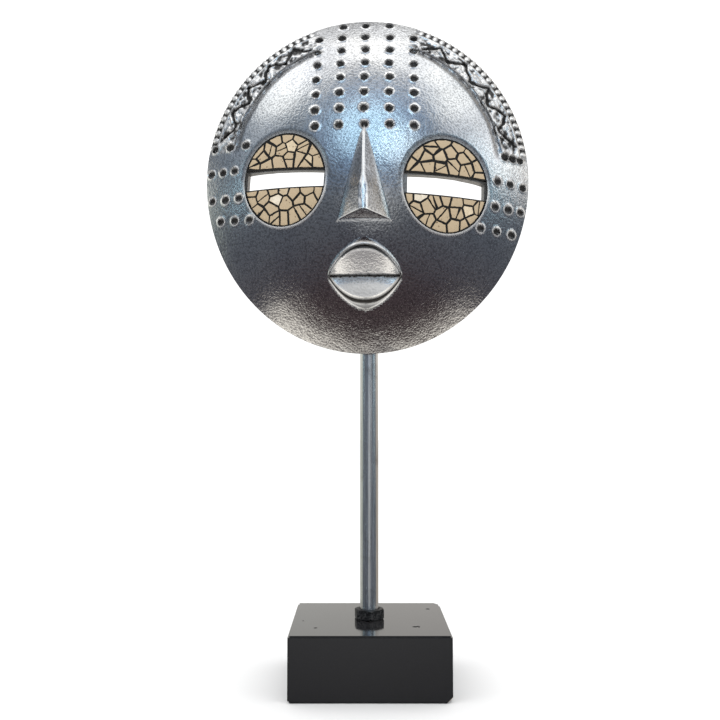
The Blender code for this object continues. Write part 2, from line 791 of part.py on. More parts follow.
def build_mask(parent, finish):
    mask = finish_object("mask", mask_shell(), parent, finish, smooth_angle=28)
    boolean(mask, "UNION", socket_web())
    boolean(mask, "UNION", rod_socket())
    boolean(mask, "DIFFERENCE", rod_bore())
    boolean(mask, "UNION", nose(parent))
    boolean(mask, "UNION", mouth(parent))
    boolean(mask, "DIFFERENCE", lip_split(parent))
    boolean(mask, "DIFFERENCE", eye_pockets(parent))
    boolean(mask, "DIFFERENCE", eye_slits(parent))
    boolean(mask, "DIFFERENCE", pits(parent))
    for side in (-1, 1):
        boolean(mask, "DIFFERENCE", zigzag(side, parent))
    boolean(mask, "DIFFERENCE", bead_notches(parent))
    return mask


# Stand

def build_rod(finish):
    bm = bmesh.new()
    add_cylinder(bm, ROD_DIAMETER / 2, ROD_BOTTOM + FIT_GAP, ROD_TOP)
    finish_object("rod", bm, finish=finish)


def build_nut(finish):
    """A thin hexagon nut with its corners turned down, resting on the block."""
    bottom, top = BLOCK_HEIGHT + FIT_GAP, BLOCK_HEIGHT + FIT_GAP + NUT_HEIGHT
    bm = bmesh.new()
    add_cylinder(bm, NUT_ACROSS_FLATS / math.sqrt(3), bottom, top, sides=6, turn=NUT_TURN)
    nut = finish_object("hex_nut", bm, finish=finish)
    crown = bmesh.new()
    corner = NUT_ACROSS_FLATS / math.sqrt(3)
    flat = NUT_ACROSS_FLATS / 2
    profile = (
        (flat - 0.2 * MM, bottom - MM), (corner + MM, bottom + NUT_CHAMFER),
        (corner + MM, top - NUT_CHAMFER), (flat - 0.2 * MM, top + MM),
    )
    angles = [2 * math.pi * i / ROUND_SIDES for i in range(ROUND_SIDES)]
    rings = []
    for r, z in profile:
        rings.append(add_ring(crown, [Vector((r * math.cos(a), r * math.sin(a), z)) for a in angles]))
    for first, second in zip(rings, rings[1:]):
        bridge(crown, first, second)
    crown.faces.new(rings[0])
    crown.faces.new(rings[-1])
    boolean(nut, "INTERSECT", finish_object("nut crown", crown))
    bore = bmesh.new()
    add_cylinder(bore, ROD_HOLE_RADIUS, bottom - NUT_HEIGHT, top + NUT_HEIGHT)
    boolean(nut, "DIFFERENCE", finish_object("nut bore", bore))


def build_block(finish):
    """A square stone block with its edges eased, drilled for the rod."""
    bm = bmesh.new()
    add_box(bm, (BLOCK_WIDTH, BLOCK_DEPTH, BLOCK_HEIGHT), Matrix.Translation((0, 0, BLOCK_HEIGHT / 2)))
    bmesh.ops.bevel(bm, geom=bm.edges[:], offset=BLOCK_CHAMFER, segments=1, affect="EDGES")
    block = finish_object("base_block", bm, finish=finish)
    hole = bmesh.new()
    add_cylinder(hole, ROD_HOLE_RADIUS, ROD_BOTTOM, BLOCK_HEIGHT + NUT_HEIGHT)
    boolean(block, "DIFFERENCE", finish_object("rod hole", hole))


def main():
    clear_scene()
    cast_metal = material("cast metal", (0.62, 0.63, 0.66), 0.3, 1.0)
    mosaic = material("cream mosaic", (0.74, 0.64, 0.46), 0.5, 0.0)
    steel = material("bright steel", (0.45, 0.46, 0.47), 0.25, 1.0)
    black_steel = material("blackened steel", (0.02, 0.02, 0.022), 0.4, 1.0)
    stone = material("black stone", (0.02, 0.02, 0.021), 0.15, 0.0)

    mask_frame = bpy.data.objects.new("mask frame", None)
    mask_frame.location = (MASK_SHIFT, RIM_PLANE, WIDEST_HEIGHT)
    mask_frame.rotation_euler = (0, 0, MASK_YAW)
    bpy.context.scene.collection.objects.link(mask_frame)
    bpy.context.view_layer.update()

    build_mask(mask_frame, cast_metal)
    for side, side_name in ((-1, "left"), (1, "right")):
        for upper, half_name in ((1, "upper"), (-1, "lower")):
            eye_inlay(f"{side_name}_eye_{half_name}_inlay", side, upper, mask_frame, mosaic)
    build_rod(steel)
    build_nut(black_steel)
    build_block(stone)


main()
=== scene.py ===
"""Looks of the round mask on its stand: patinated cast metal, cream mosaics, steel and black stone.

Metres, +Z up. The face looks along -Y, and left and right are the viewer's.
In the mask's own frame, u runs to the right, v up and w out of the face.
"""
import math
import random

import bmesh
import bpy
import numpy as np
from mathutils import Matrix, Vector


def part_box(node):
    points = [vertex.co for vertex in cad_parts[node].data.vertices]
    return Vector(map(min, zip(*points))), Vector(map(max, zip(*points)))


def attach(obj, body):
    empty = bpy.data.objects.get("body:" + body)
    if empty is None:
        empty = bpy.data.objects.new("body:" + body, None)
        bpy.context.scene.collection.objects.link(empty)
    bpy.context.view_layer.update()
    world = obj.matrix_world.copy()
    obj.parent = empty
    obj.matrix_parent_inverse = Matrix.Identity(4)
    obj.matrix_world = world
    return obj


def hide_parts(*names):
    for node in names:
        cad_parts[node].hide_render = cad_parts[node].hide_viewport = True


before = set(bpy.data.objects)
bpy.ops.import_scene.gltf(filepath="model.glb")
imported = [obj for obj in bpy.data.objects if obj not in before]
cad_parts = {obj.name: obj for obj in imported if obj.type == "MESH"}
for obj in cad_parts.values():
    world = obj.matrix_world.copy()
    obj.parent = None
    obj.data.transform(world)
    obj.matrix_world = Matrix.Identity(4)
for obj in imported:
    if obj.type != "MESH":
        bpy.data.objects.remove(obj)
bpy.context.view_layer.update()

MM = 0.001

# Sizes repeated from the part's source
MASK_HALF_WIDTH = 107 * MM
MASK_RISE = 108.5 * MM
MASK_FALL = 115 * MM
WIDEST_HEIGHT = 328.5 * MM
DOME_DEPTH = 45 * MM
WALL = 7 * MM
RIM_THICKNESS = 4 * MM
MASK_SHIFT = -1.8 * MM
RIM_PLANE = -11 * MM
MASK_YAW = math.radians(-2.5)
SIDE_LEAN = 0.05

EYE_SPACING = 102 * MM
EYE_HEIGHT = -9.3 * MM
EYE_HALF_WIDTH = 27.2 * MM
EYE_HALF_HEIGHT = 29.8 * MM
POCKET_DEPTH = 4 * MM
SLIT_HEIGHT = 12.2 * MM
SLIT_RISE_OUTWARD = math.radians(1.6)
SLIT_REACH = {-1: (-25.8 * MM, 26.3 * MM), 1: (-24.3 * MM, 26.3 * MM)}
SLIT_NOSE_LIFT = {-1: 2 * MM, 1: 0.0}
SLIT_END_SLOPE = {-1: 0.26, 1: 0.42}
SLIT_TOP_SLOPE = {-1: (0.14, 0.2), 1: (0.2, 0.33)}
CHIP_RECESS = 0.9 * MM
CHIP_PROUD = 0.7 * MM
CHIP_KEY = 0.9 * MM
CHIP_SPACING = 7 * MM
CHIP_SPACING_SPREAD = (0.72, 1.3)
CHIP_TRIES = 500
CHIP_SMALLEST_AREA = 5 * MM * MM
CHIP_SHORTEST_SIDE = 1.3 * MM
CHIP_INSETS = (0.4 * MM, 0.85 * MM)
INLAY_MARGIN = 1.1 * MM
FIT_GAP = 0.3 * MM

NOSE_TOP = 20 * MM
NOSE_BOTTOM = -35 * MM
NOSE_HALF_WIDTH = 17 * MM
NOSE_DEPTH = 20 * MM
NOSE_TIP_RISE = 3 * MM
NOSE_RIDGE = 2.6 * MM
NOSE_APEX_WIDTH = 0.12
NOSE_APEX_DEPTH = 0.06

MOUTH_HEIGHT = -66.5 * MM
MOUTH_HALF_WIDTH = 23.6 * MM
MOUTH_HALF_HEIGHT = 21.8 * MM
MOUTH_DEPTH = 9 * MM
MOUTH_ROUNDNESS = 1.5
MOUTH_CROWN = 3.2
LIPS_HALF_WIDTH = 22.8 * MM
LIPS_RISE = 15.5 * MM
LIPS_FALL = 14.5 * MM
LIPS_ROUNDNESS = 2.3
LIPS_LINE = -1.5 * MM
LIPS_LINE_DEPTH = 0.35
LOWER_LIP_SWELL = 0.8
LIPS_SPLIT = 1.6 * MM
LIPS_SPLIT_REACH = 0.96
LIPS_GROOVE = 1.6 * MM

PIT_RADIUS = 2.8 * MM
PIT_DEPTH = 2.4 * MM
PIT_COLUMNS = 5
PIT_COLUMN_SPACING = 15.6 * MM
PIT_ROWS = 8
PIT_ROW_SPACING = 11.3 * MM
PIT_FIRST_ROW = 25 * MM
TEMPLE_ROWS = {
    -1: (
        (20.1 * MM, 0.745, 0.962), (4 * MM, 0.795, 0.965),
        (-14.2 * MM, 0.78, 0.965), (-28.7 * MM, 0.743, 0.93),
    ),
    1: (
        (11.2 * MM, 0.85, 0.945), (-5.8 * MM, 0.795, 0.96),
        (-22.2 * MM, 0.8, 0.962), (-36.9 * MM, 0.754, 0.946),
    ),
}
TEMPLE_COLUMNS = 3
TEMPLE_LEAN = 0.08

BAND_START = 22
BAND_ENDS = {-1: 76, 1: 80}
BAND_FADE = 5
BAND_INSIDE = 0.83
BAND_GROOVE_DEPTH = 1.3 * MM
ZIGZAG_INSIDE = 0.852
ZIGZAG_OUTSIDE = 0.93
ZIGZAG_BENDS = 9
ZIGZAG_WIDTH = 2.4 * MM
ZIGZAG_DEPTH = 1.2 * MM
BORDER_INSIDE = 0.955
BORDER_RIDGE = 0.7 * MM
BEAD_PITCH = 5.2 * MM

SOCKET_RADIUS = 11 * MM
SOCKET_BOTTOM = WIDEST_HEIGHT - 92 * MM
SOCKET_BORE_DEPTH = 30 * MM
SOCKET_CAP = 6 * MM
SOCKET_WEB = 14 * MM
SOCKET_TOP = SOCKET_BOTTOM + SOCKET_BORE_DEPTH + SOCKET_CAP

NUT_ACROSS_FLATS = 18 * MM
NUT_CHAMFER = 1 * MM
NUT_TURN = math.radians(-22.5)

# Finer work that only the scene has

# The nose's ridge and its painted highlight: its width at the apex and what it gains below, as shares of the
# solid's ridge
RIDGE_APEX = 0.2
RIDGE_GAIN = 0.55

# How far the grout lies below the chips, and the hairlines across the larger ones
GROUT_RECESS = 0.35 * MM
CRACKED_AREA = 38 * MM * MM
CRACKED_SHARE = 0.7
CRACK_WIDTH = 0.75 * MM

# Each chip's slope either way, its lift and the waver of its outline in millimetres
CHIP_SLOPE = 0.025
CHIP_LIFT = (-0.15, 0.12)
CHIP_WAVER = 0.13

# The bevel of a chip's face: how far in and how far down, from its broken side up
CHIP_BEVEL = ((0, 0.22 * MM), (0.14 * MM, 0.06 * MM), (0.34 * MM, 0.0))

# Open pores in the top of the block: x, y and radius in millimetres
PORES = (
    (40.5, 28.5, 1.5), (28.6, -25, 1.7), (30.8, -23.6, 1.2),
    (-34, -28, 1.2), (-43, -8, 0.8), (31, -26.5, 0.7),
)
BLOCK_EDGE = 1.1 * MM
WORN_AND_HIGHLIT_EDGE = 0.6 * MM

# Knocked corners of the block: on which side in x, y and z, the cut's direction and its depth
KNOCKS = (
    ((1, 1, 1), (0.9, 0.5, 0.35), 3.8 * MM),
    ((1, 0, 0), (0.75, -0.35, -0.75), 2.9 * MM),
    ((0, 0, 0), (-0.6, -0.4, -0.7), 1.5 * MM),
)

# Depths below the dome between which the dressed face ends, the raw casting starts and a slit's wall ends
FACE_ENDS = (2.6 * MM, 3.2 * MM)
RAW_STARTS = (2.8 * MM, 3.6 * MM)
SLIT_WALL_ENDS = (10 * MM, 14 * MM)

# The share of the outline from which the rim is smooth, and where a pit's thrown-up rim ends
RELIEF_ENDS = 0.985
PIT_RIM = 1.33

# How near to a pit's edge a point is moved onto it
PIT_SNAP = 0.28 * MM

# How fine the casting is meshed, in rings from its middle to its rim
FRONT_RINGS = 136
RIM_RINGS_SHARE = 0.3
RIM_STARTS = 0.8
BACK_STEP = 4

# How often the search for the inside edge halves its range
HALVINGS = 30

# The photo's point of view, and how far the floor reaches
CAMERA_PLACE = (-0.0061, -0.6119, 0.1725)
CAMERA_TILT = math.radians(90 + 3.51)
CAMERA_SENSOR = 36
CAMERA_LENS = 45.83
FLOOR_REACH = 6.0

# Name, place, size and power of each softbox
SOFTBOXES = (
    ("softbox_left", (-0.9, -0.7, 1.25), (0.7, 0.5), 1.6),
    ("softbox_right", (0.95, -0.5, 1.2), (0.6, 0.5), 1.0),
    ("softbox_top", (0.0, -0.1, 1.7), (0.9, 0.7), 2.4),
)


# Shader nodes written as Python

class Wire:
    """The output of one node. Python's operators on it add Math nodes to its tree."""

    def __init__(self, desk, socket):
        self.desk = desk
        self.socket = socket

    def __add__(self, other):
        return self.desk.maths("ADD", self, other)

    def __radd__(self, other):
        return self.desk.maths("ADD", other, self)

    def __sub__(self, other):
        return self.desk.maths("SUBTRACT", self, other)

    def __rsub__(self, other):
        return self.desk.maths("SUBTRACT", other, self)

    def __mul__(self, other):
        return self.desk.maths("MULTIPLY", self, other)

    def __rmul__(self, other):
        return self.desk.maths("MULTIPLY", other, self)

    def above(self, low, high):
        """Rises smoothly from 0 at low to 1 at high. With low over high it falls instead."""
        return self.desk.add(
            "ShaderNodeMapRange", {"interpolation_type": "SMOOTHSTEP"},
            {"Value": self, "From Min": low, "From Max": high},
        )


class Desk:
    """Builds the nodes of one material or world."""

    def __init__(self, tree):
        self.tree = tree
        tree.nodes.clear()

    def add(self, kind, settings=None, sockets=None, output=0):
        """A node of one type: its settings first, then the values or links of its sockets."""
        made = self.tree.nodes.new(kind)
        for name, value in (settings or {}).items():
            if name == "stops":
                self.set_stops(made.color_ramp.elements, value)
            else:
                setattr(made, name, value)
        for name, value in (sockets or {}).items():
            if isinstance(value, Wire):
                self.tree.links.new(value.socket, made.inputs[name])
            else:
                made.inputs[name].default_value = value
        return Wire(self, made.outputs[output]) if len(made.outputs) else None

    def set_stops(self, elements, stops):
        while len(elements) > 1:
            elements.remove(elements[-1])
        elements[0].position = stops[0][0]
        elements[0].color = (*stops[0][1], 1)
        for place, colour in stops[1:]:
            elements.new(place).color = (*colour, 1)

    def maths(self, operation, first, second):
        return self.add("ShaderNodeMath", {"operation": operation}, {0: first, 1: second})

    def mix(self, share, first, second):
        """A colour between two others."""
        first, second = ((*c, 1) if isinstance(c, tuple) else c for c in (first, second))
        return self.add("ShaderNodeMix", {"data_type": "RGBA"}, {0: share, 6: first, 7: second}, output=2)

    def glow(self, first, second):
        """The sum of two colours."""
        settings = {"data_type": "RGBA", "blend_type": "ADD", "clamp_result": False}
        return self.add("ShaderNodeMix", settings, {0: 1.0, 6: first, 7: second}, output=2)

    def ramp(self, share, stops):
        return self.add("ShaderNodeValToRGB", {"stops": stops}, {0: share})

    def place(self):
        return self.add("ShaderNodeTexCoord", output="Object")

    def stretch(self, place, scale):
        return self.add("ShaderNodeMapping", {}, {"Vector": place, "Scale": scale})

    def noise(self, place, per_metre, detail=2.0, roughness=0.5):
        return self.add(
            "ShaderNodeTexNoise", {},
            {"Vector": place, "Scale": per_metre, "Detail": detail, "Roughness": roughness},
        )

    def specks(self, place, per_metre):
        """Distance to the nearest of many scattered points, in steps of their spacing."""
        return self.add("ShaderNodeTexVoronoi", {}, {"Vector": place, "Scale": per_metre})

    def mark(self, name):
        """What the mesh says of each point, from 0 to 1."""
        return self.add("ShaderNodeAttribute", {"attribute_name": name}, output="Fac")

    def bump(self, height, depth, strength=1.0):
        return self.add("ShaderNodeBump", {}, {"Height": height, "Distance": depth, "Strength": strength})

    def surface(self, sockets):
        shader = self.add("ShaderNodeBsdfPrincipled", {}, sockets)
        self.add("ShaderNodeOutputMaterial", {}, {"Surface": shader})


def new_material(name):
    made = bpy.data.materials.new(name)
    made.use_nodes = True
    return made, Desk(made.node_tree)


# Finishes

def cast_metal():
    """Polished, pebbled casting: dark in recesses from patina and painted shade, bright on edges from polish
    and painted highlights, rough where it was never dressed.
    """
    made, desk = new_material("cast_metal")
    place = desk.place()
    patina = desk.mark("patina")
    polish = desk.mark("polish")
    raw = desk.mark("raw_cast")
    pebble = desk.noise(place, 760, detail=2.0, roughness=0.5)
    grit = desk.noise(place, 2200, detail=1.0)
    cloud = desk.noise(place, 26, detail=3.0)
    hollow = (pebble * 0.75 + grit * 0.25).above(0.54, 0.4) * (1 - polish * 0.8)
    silver = desk.mix(cloud.above(0.35, 0.65), (0.72, 0.73, 0.75), (0.84, 0.84, 0.83))
    silver = desk.mix(hollow * 0.5, silver, (0.2, 0.2, 0.205))
    # Polish and painted highlights lighten the metal towards a pale grey
    silver = desk.mix(polish * 0.85, silver, (0.94, 0.93, 0.91))
    cast = desk.mix(grit, (0.12, 0.115, 0.105), (0.26, 0.25, 0.23))
    colour = desk.mix(raw, silver, cast)
    # Patina and painted shade darken the metal towards a near black
    colour = desk.mix(patina, colour, (0.014, 0.011, 0.009))
    relief = pebble * 1.0 + grit * 0.25
    desk.surface({
        "Base Color": colour,
        "Metallic": 1 - patina * 0.7 - raw * 0.35 - polish * 0.5,
        "Roughness": 0.1 + grit * 0.08 + patina * 0.35 + raw * 0.35,
        "Normal": desk.bump(relief, 0.17 * MM, 0.8),
    })
    return made


def cream_tile():
    """Broken cream tile: each chip its own tint, with fine brown specks and a worn face."""
    made, desk = new_material("cream_tile")
    place = desk.place()
    tint = desk.mark("tint")
    mottle = desk.noise(place, 240, detail=3.0)
    grit = desk.noise(place, 2400, detail=1.0)
    colour = desk.ramp(tint, (
        (0.0, (0.47, 0.365, 0.235)), (0.45, (0.6, 0.485, 0.325)),
        (0.85, (0.68, 0.57, 0.405)), (1.0, (0.75, 0.7, 0.6)),
    ))
    colour = desk.mix(mottle.above(0.42, 0.66) * 0.4, colour, (0.42, 0.34, 0.22))
    speck = desk.specks(place, 300).above(0.22, 0.1)
    colour = desk.mix(speck * mottle.above(0.42, 0.58), colour, (0.15, 0.09, 0.05))
    desk.surface({
        "Base Color": colour,
        "Roughness": 0.42 + mottle * 0.2,
        "Normal": desk.bump(mottle + grit * 0.4, 0.15 * MM, 0.6),
    })
    return made


def black_grout():
    made, desk = new_material("black_grout")
    place = desk.place()
    grit = desk.noise(place, 1500, detail=3.0)
    desk.surface({
        "Base Color": desk.mix(grit, (0.004, 0.0035, 0.003), (0.015, 0.013, 0.011)),
        "Roughness": 0.7 + grit * 0.2,
        "Normal": desk.bump(grit, 0.2 * MM, 0.8),
    })
    return made


def drawn_steel():
    """A bright rod, with fine scratches along it and a little grey staining."""
    made, desk = new_material("drawn_steel")
    place = desk.place()
    lines = desk.noise(desk.stretch(place, (300, 300, 9)), 4, detail=3.0)
    rings = desk.noise(desk.stretch(place, (20, 20, 4000)), 1, detail=2.0)
    stain = desk.noise(place, 60, detail=4.0)
    colour = desk.mix(lines.above(0.3, 0.7), (0.72, 0.72, 0.71), (0.95, 0.95, 0.94))
    colour = desk.mix(stain.above(0.55, 0.75) * 0.4, colour, (0.24, 0.22, 0.19))
    desk.surface({
        "Base Color": colour,
        "Metallic": 1.0,
        "Roughness": 0.16 + stain * 0.12,
        "Normal": desk.bump(rings * 0.6 + lines, 0.05 * MM, 0.4),
    })
    return made


def blackened_steel():
    made, desk = new_material("blackened_steel")
    place = desk.place()
    scale = desk.noise(place, 900, detail=3.0)
    wear = desk.mark("wear")
    desk.surface({
        # Paler on the worn corners, and with a highlight painted round the hole
        "Base Color": desk.mix(wear * scale.above(0.4, 0.6), (0.012, 0.012, 0.013), (0.2, 0.2, 0.2)),
        "Metallic": 0.6,
        "Roughness": 0.34 + scale * 0.25,
        "Normal": desk.bump(scale, 0.15 * MM, 0.6),
    })
    return made


def black_stone():
    """Polished black stone: fine dark grains, tiny open pores and a paler line along its edges, both a worn
    bruise and a painted highlight.
    """
    made, desk = new_material("black_stone")
    place = desk.place()
    grain = desk.noise(place, 900, detail=3.0, roughness=0.6)
    cloud = desk.noise(place, 35, detail=3.0)
    glint = desk.specks(place, 700).above(0.13, 0.04) * grain.above(0.54, 0.64)
    wear = desk.mark("wear")
    colour = desk.mix(grain, (0.013, 0.0128, 0.0135), (0.018, 0.0175, 0.0185))
    colour = desk.mix(glint * 0.3, colour, (0.09, 0.09, 0.1))
    # Paler along the edges: worn stone and a painted highlight on the bevels
    colour = desk.mix(wear * (0.35 + grain.above(0.35, 0.6) * 0.5), colour, (0.32, 0.3, 0.28))
    desk.surface({
        "Base Color": colour,
        "Roughness": 0.06 + cloud * 0.05 + wear * 0.3 + desk.mark("open") * 0.7,
        "Normal": desk.bump(grain, 0.02 * MM, 0.4),
    })
    return made


# Meshes

def placed(name, data):
    """A new object of the scene."""
    made = bpy.data.objects.new(name, data)
    bpy.context.scene.collection.objects.link(made)
    return made


def new_piece(name, mesh, finishes, smooth_angle, nodes):
    """A finished piece on the one body, standing for the CAD nodes that it names."""
    piece = placed(name, mesh)
    for finish in finishes:
        if finish.name not in mesh.materials:
            mesh.materials.append(finish)
    mesh.shade_smooth()
    mesh.set_sharp_from_angle(angle=math.radians(smooth_angle))
    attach(piece, "root")
    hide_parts(*nodes)
    return piece


def closed_mesh(name, bm):
    bmesh.ops.recalc_face_normals(bm, faces=bm.faces)
    mesh = bpy.data.meshes.new(name)
    bm.to_mesh(mesh)
    bm.free()
    return mesh


def tool(name, bm):
    """A solid that only shapes others, and is thrown away afterwards."""
    return placed(name, closed_mesh(name, bm))


def shaped(base, steps):
    """The base object's mesh once each tool is joined to it or cut from it. The objects themselves go."""
    for operation, other in steps:
        step = base.modifiers.new(other.name, "BOOLEAN")
        step.operation = operation
        step.object = other
        step.solver = "EXACT"
    graph = bpy.context.evaluated_depsgraph_get()
    mesh = bpy.data.meshes.new_from_object(base.evaluated_get(graph))
    for other in [base] + [other for _, other in steps]:
        bpy.data.objects.remove(other, do_unlink=True)
    return mesh


def set_mark(mesh, name, values):
    """Keeps a number from 0 to 1 on every point of a mesh, for its finish to read."""
    mark = mesh.attributes.new(name, "FLOAT", "POINT")
    mark.data.foreach_set("value", np.clip(values, 0, 1).astype(np.float32))


def points_of(mesh):
    found = np.zeros(len(mesh.vertices) * 3)
    mesh.vertices.foreach_get("co", found)
    return found.reshape(-1, 3)


def add_ring(bm, points):
    return [bm.verts.new(point) for point in points]


def bridge(bm, first, second):
    for i in range(len(first)):
        j = (i + 1) % len(first)
        bm.faces.new((first[i], first[j], second[j], second[i]))


def close_ring(bm, ring, middle):
    centre = bm.verts.new(middle)
    for i in range(len(ring)):
        bm.faces.new((ring[i], ring[(i + 1) % len(ring)], centre))


def loft(bm, rings):
    for first, second in zip(rings, rings[1:]):
        bridge(bm, first, second)


def turned(bm, profile, sides, turn=0.0):
    """Adds a closed solid turned about the Z axis, from pairs of radius and height."""
    angles = [2 * math.pi * i / sides + turn for i in range(sides)]
    rings = [add_ring(bm, [(r * math.cos(a), r * math.sin(a), z) for a in angles]) for r, z in profile]
    loft(bm, rings)
    close_ring(bm, rings[0], (0, 0, profile[0][1]))
    close_ring(bm, rings[-1], (0, 0, profile[-1][1]))


# The mask's own frame

MASK_PLACE = Matrix.Translation((MASK_SHIFT, RIM_PLANE, WIDEST_HEIGHT)) @ Matrix.Rotation(MASK_YAW, 4, "Z")


def at(u, v, w):
    """A point of the mask's frame, in the row's frame."""
    return MASK_PLACE @ Vector((float(u), -float(w), float(v)))


def mask_points(points):
    """The u, v and w of an array of points in the row's frame."""
    back = np.array(MASK_PLACE.inverted())
    local = points @ back[:3, :3].T + back[:3, 3]
    return local[:, 0], local[:, 2], -local[:, 1]


def row_points(u, v, w):
    """An array of points in the row's frame, from their u, v and w."""
    forth = np.array(MASK_PLACE)
    return np.column_stack((u, -w, v)) @ forth[:3, :3].T + forth[:3, 3]


def ease(start, end, value):
    """Rises smoothly from 0 at start to 1 at end."""
    t = np.clip((value - start) / (end - start), 0, 1)
    return t * t * (3 - 2 * t)


def hill(middle, half, value):
    """1 at the middle, falling smoothly to 0 at half a width on either side."""
    return 1 - ease(0, half, np.abs(value - middle))


def plateau(rise, fall, value):
    """Rises smoothly from 0 to 1 between one pair of values, and falls back between another."""
    return ease(*rise, value) * (1 - ease(*fall, value))


def share_and_turn(u, v):
    """How far out a point lies, as a share of the outline, and its turn from straight up in degrees."""
    across = u / MASK_HALF_WIDTH
    along = v / np.where(v > 0, MASK_RISE, MASK_FALL)
    return np.hypot(across, along), np.degrees(np.arctan2(across, along))


def on_outline(share, turn):
    """The u and v of a point at this share of the outline and turn from straight up, in degrees."""
    angle = np.radians(turn)
    height = np.where(np.cos(angle) > 0, MASK_RISE, MASK_FALL)
    return share * MASK_HALF_WIDTH * np.sin(angle), share * height * np.cos(angle)


def dome(u, v):
    share, _ = share_and_turn(u, v)
    return DOME_DEPTH * (1 - share * share)


def off_dome(away):
    """The surface at one distance over the dome, as a function of u and v."""
    return lambda u, v: dome(u, v) + away


def inner_dome(u, v):
    """The inside of the casting, one wall behind the dome."""
    share, turn = share_and_turn(u, v)
    edge_u, edge_v = on_outline(1.0, turn)
    slope = 2 * DOME_DEPTH * share / np.hypot(edge_u, edge_v)
    return dome(u, v) - WALL * np.hypot(1, slope)


def lumps(u, v, size, seed):
    """Smooth noise from -1 to 1, with lumps of one size."""
    lattice = np.random.default_rng(seed).uniform(-1, 1, (256, 256))
    i, j = np.floor(u / size).astype(int), np.floor(v / size).astype(int)
    s, t = u / size - i, v / size - j
    s, t = s * s * (3 - 2 * s), t * t * (3 - 2 * t)
    low = lattice[i % 256, j % 256] * (1 - s) + lattice[(i + 1) % 256, j % 256] * s
    high = lattice[i % 256, (j + 1) % 256] * (1 - s) + lattice[(i + 1) % 256, (j + 1) % 256] * s
    return low * (1 - t) + high * t


def lump(u, v, size, seed):
    """The same noise at one point."""
    return float(lumps(np.array(u), np.array(v), size, seed))


# What the founder cut or raised on the dome. Each part gives a height, how dark and how bright it is.

def in_band(turn):
    """1 along a side band, fading out at both of its ends."""
    end = np.where(turn > 0, BAND_ENDS[1], BAND_ENDS[-1])
    return plateau((BAND_START - BAND_FADE, BAND_START), (end, end + BAND_FADE), np.abs(turn))


def band_relief(u, v, share, turn):
    """The groove inside each band, its hammered ground and the ridge inside its border."""
    band = in_band(turn)
    out = share + 0.003 * lumps(u, v, 9 * MM, 11)
    groove = plateau((BAND_INSIDE - 0.05, BAND_INSIDE - 0.008), (BAND_INSIDE, BAND_INSIDE + 0.006), out)
    cut = hill(BAND_INSIDE - 0.003, 0.009, out) * ease(-0.75, 0.1, lumps(u, v, 11 * MM, 14))
    edge = hill(BAND_INSIDE + 0.009, 0.008, out)
    ridge = hill(BORDER_INSIDE - 0.01, 0.011, out)
    sides = (BAND_INSIDE + 0.002, BAND_INSIDE + 0.01), (BORDER_INSIDE - 0.02, BORDER_INSIDE - 0.012)
    ground = plateau(*sides, out)
    hammer = lumps(u, v, 2.6 * MM, 12) * 0.6 + lumps(u, v, 1.4 * MM, 13) * 0.4
    height = BORDER_RIDGE * ridge - BAND_GROOVE_DEPTH * groove + 0.35 * MM * edge + 1.1 * MM * hammer * ground
    # Darker in the cut and the hammered ground's low spots, patina and painted shade; lighter on the groove's
    # edge, the border ridge and the ground's high spots, polish and painted highlight
    dark = cut + 0.95 * ground * ease(0.05, 0.3, -hammer)
    bright = edge + ridge + 0.9 * ground * ease(0.0, 0.3, hammer)
    return band * height, band * dark, band * bright


def zigzag_path(side):
    start, end = BAND_START + 2, BAND_ENDS[side] - 2
    path = []
    for i in range(ZIGZAG_BENDS + 1):
        share = ZIGZAG_INSIDE if i % 2 == 0 else ZIGZAG_OUTSIDE
        path.append(on_outline(share, side * (start + (end - start) * i / ZIGZAG_BENDS)))
    return path


def distance_to_path(u, v, path):
    nearest = np.full(u.shape, 1.0)
    for (u0, v0), (u1, v1) in zip(path, path[1:]):
        du, dv = u1 - u0, v1 - v0
        t = np.clip(((u - u0) * du + (v - v0) * dv) / (du * du + dv * dv), 0, 1)
        nearest = np.minimum(nearest, np.hypot(u - u0 - du * t, v - v0 - dv * t))
    return nearest


def zigzag_relief(u, v, share, turn):
    """The wavy chiselled line that runs to and fro along each band, with the lips that it threw up."""
    height, dark, bright = (np.zeros(u.shape) for _ in range(3))
    near = np.where((share > 0.8) & (share < 0.97))[0]
    wave_u = u[near] + 1.1 * MM * lumps(u[near], v[near], 5 * MM, 21)
    wave_v = v[near] + 1.1 * MM * lumps(u[near], v[near], 5 * MM, 22)
    for side in (-1, 1):
        off = distance_to_path(wave_u, wave_v, zigzag_path(side))
        width = ZIGZAG_WIDTH / 2 * (1.2 + 0.35 * lumps(u[near], v[near], 4 * MM, 23))
        groove = 1 - ease(0.15 * width, width, off)
        lip = hill(1.45, 0.5, off / width)
        second = hill(2.15, 0.4, off / width) * ease(0.0, 0.5, lumps(u[near], v[near], 7 * MM, 24))
        height[near] += 0.45 * MM * lip - ZIGZAG_DEPTH * groove - 0.5 * MM * second
        # Darker in the groove and the second cut, patina and painted shade; lighter on the thrown-up lips,
        # polish and painted highlight
        dark[near] += 1 - ease(0.45 * width, 1.05 * width, off) + 0.8 * second
        bright[near] += lip
    return height, dark, bright


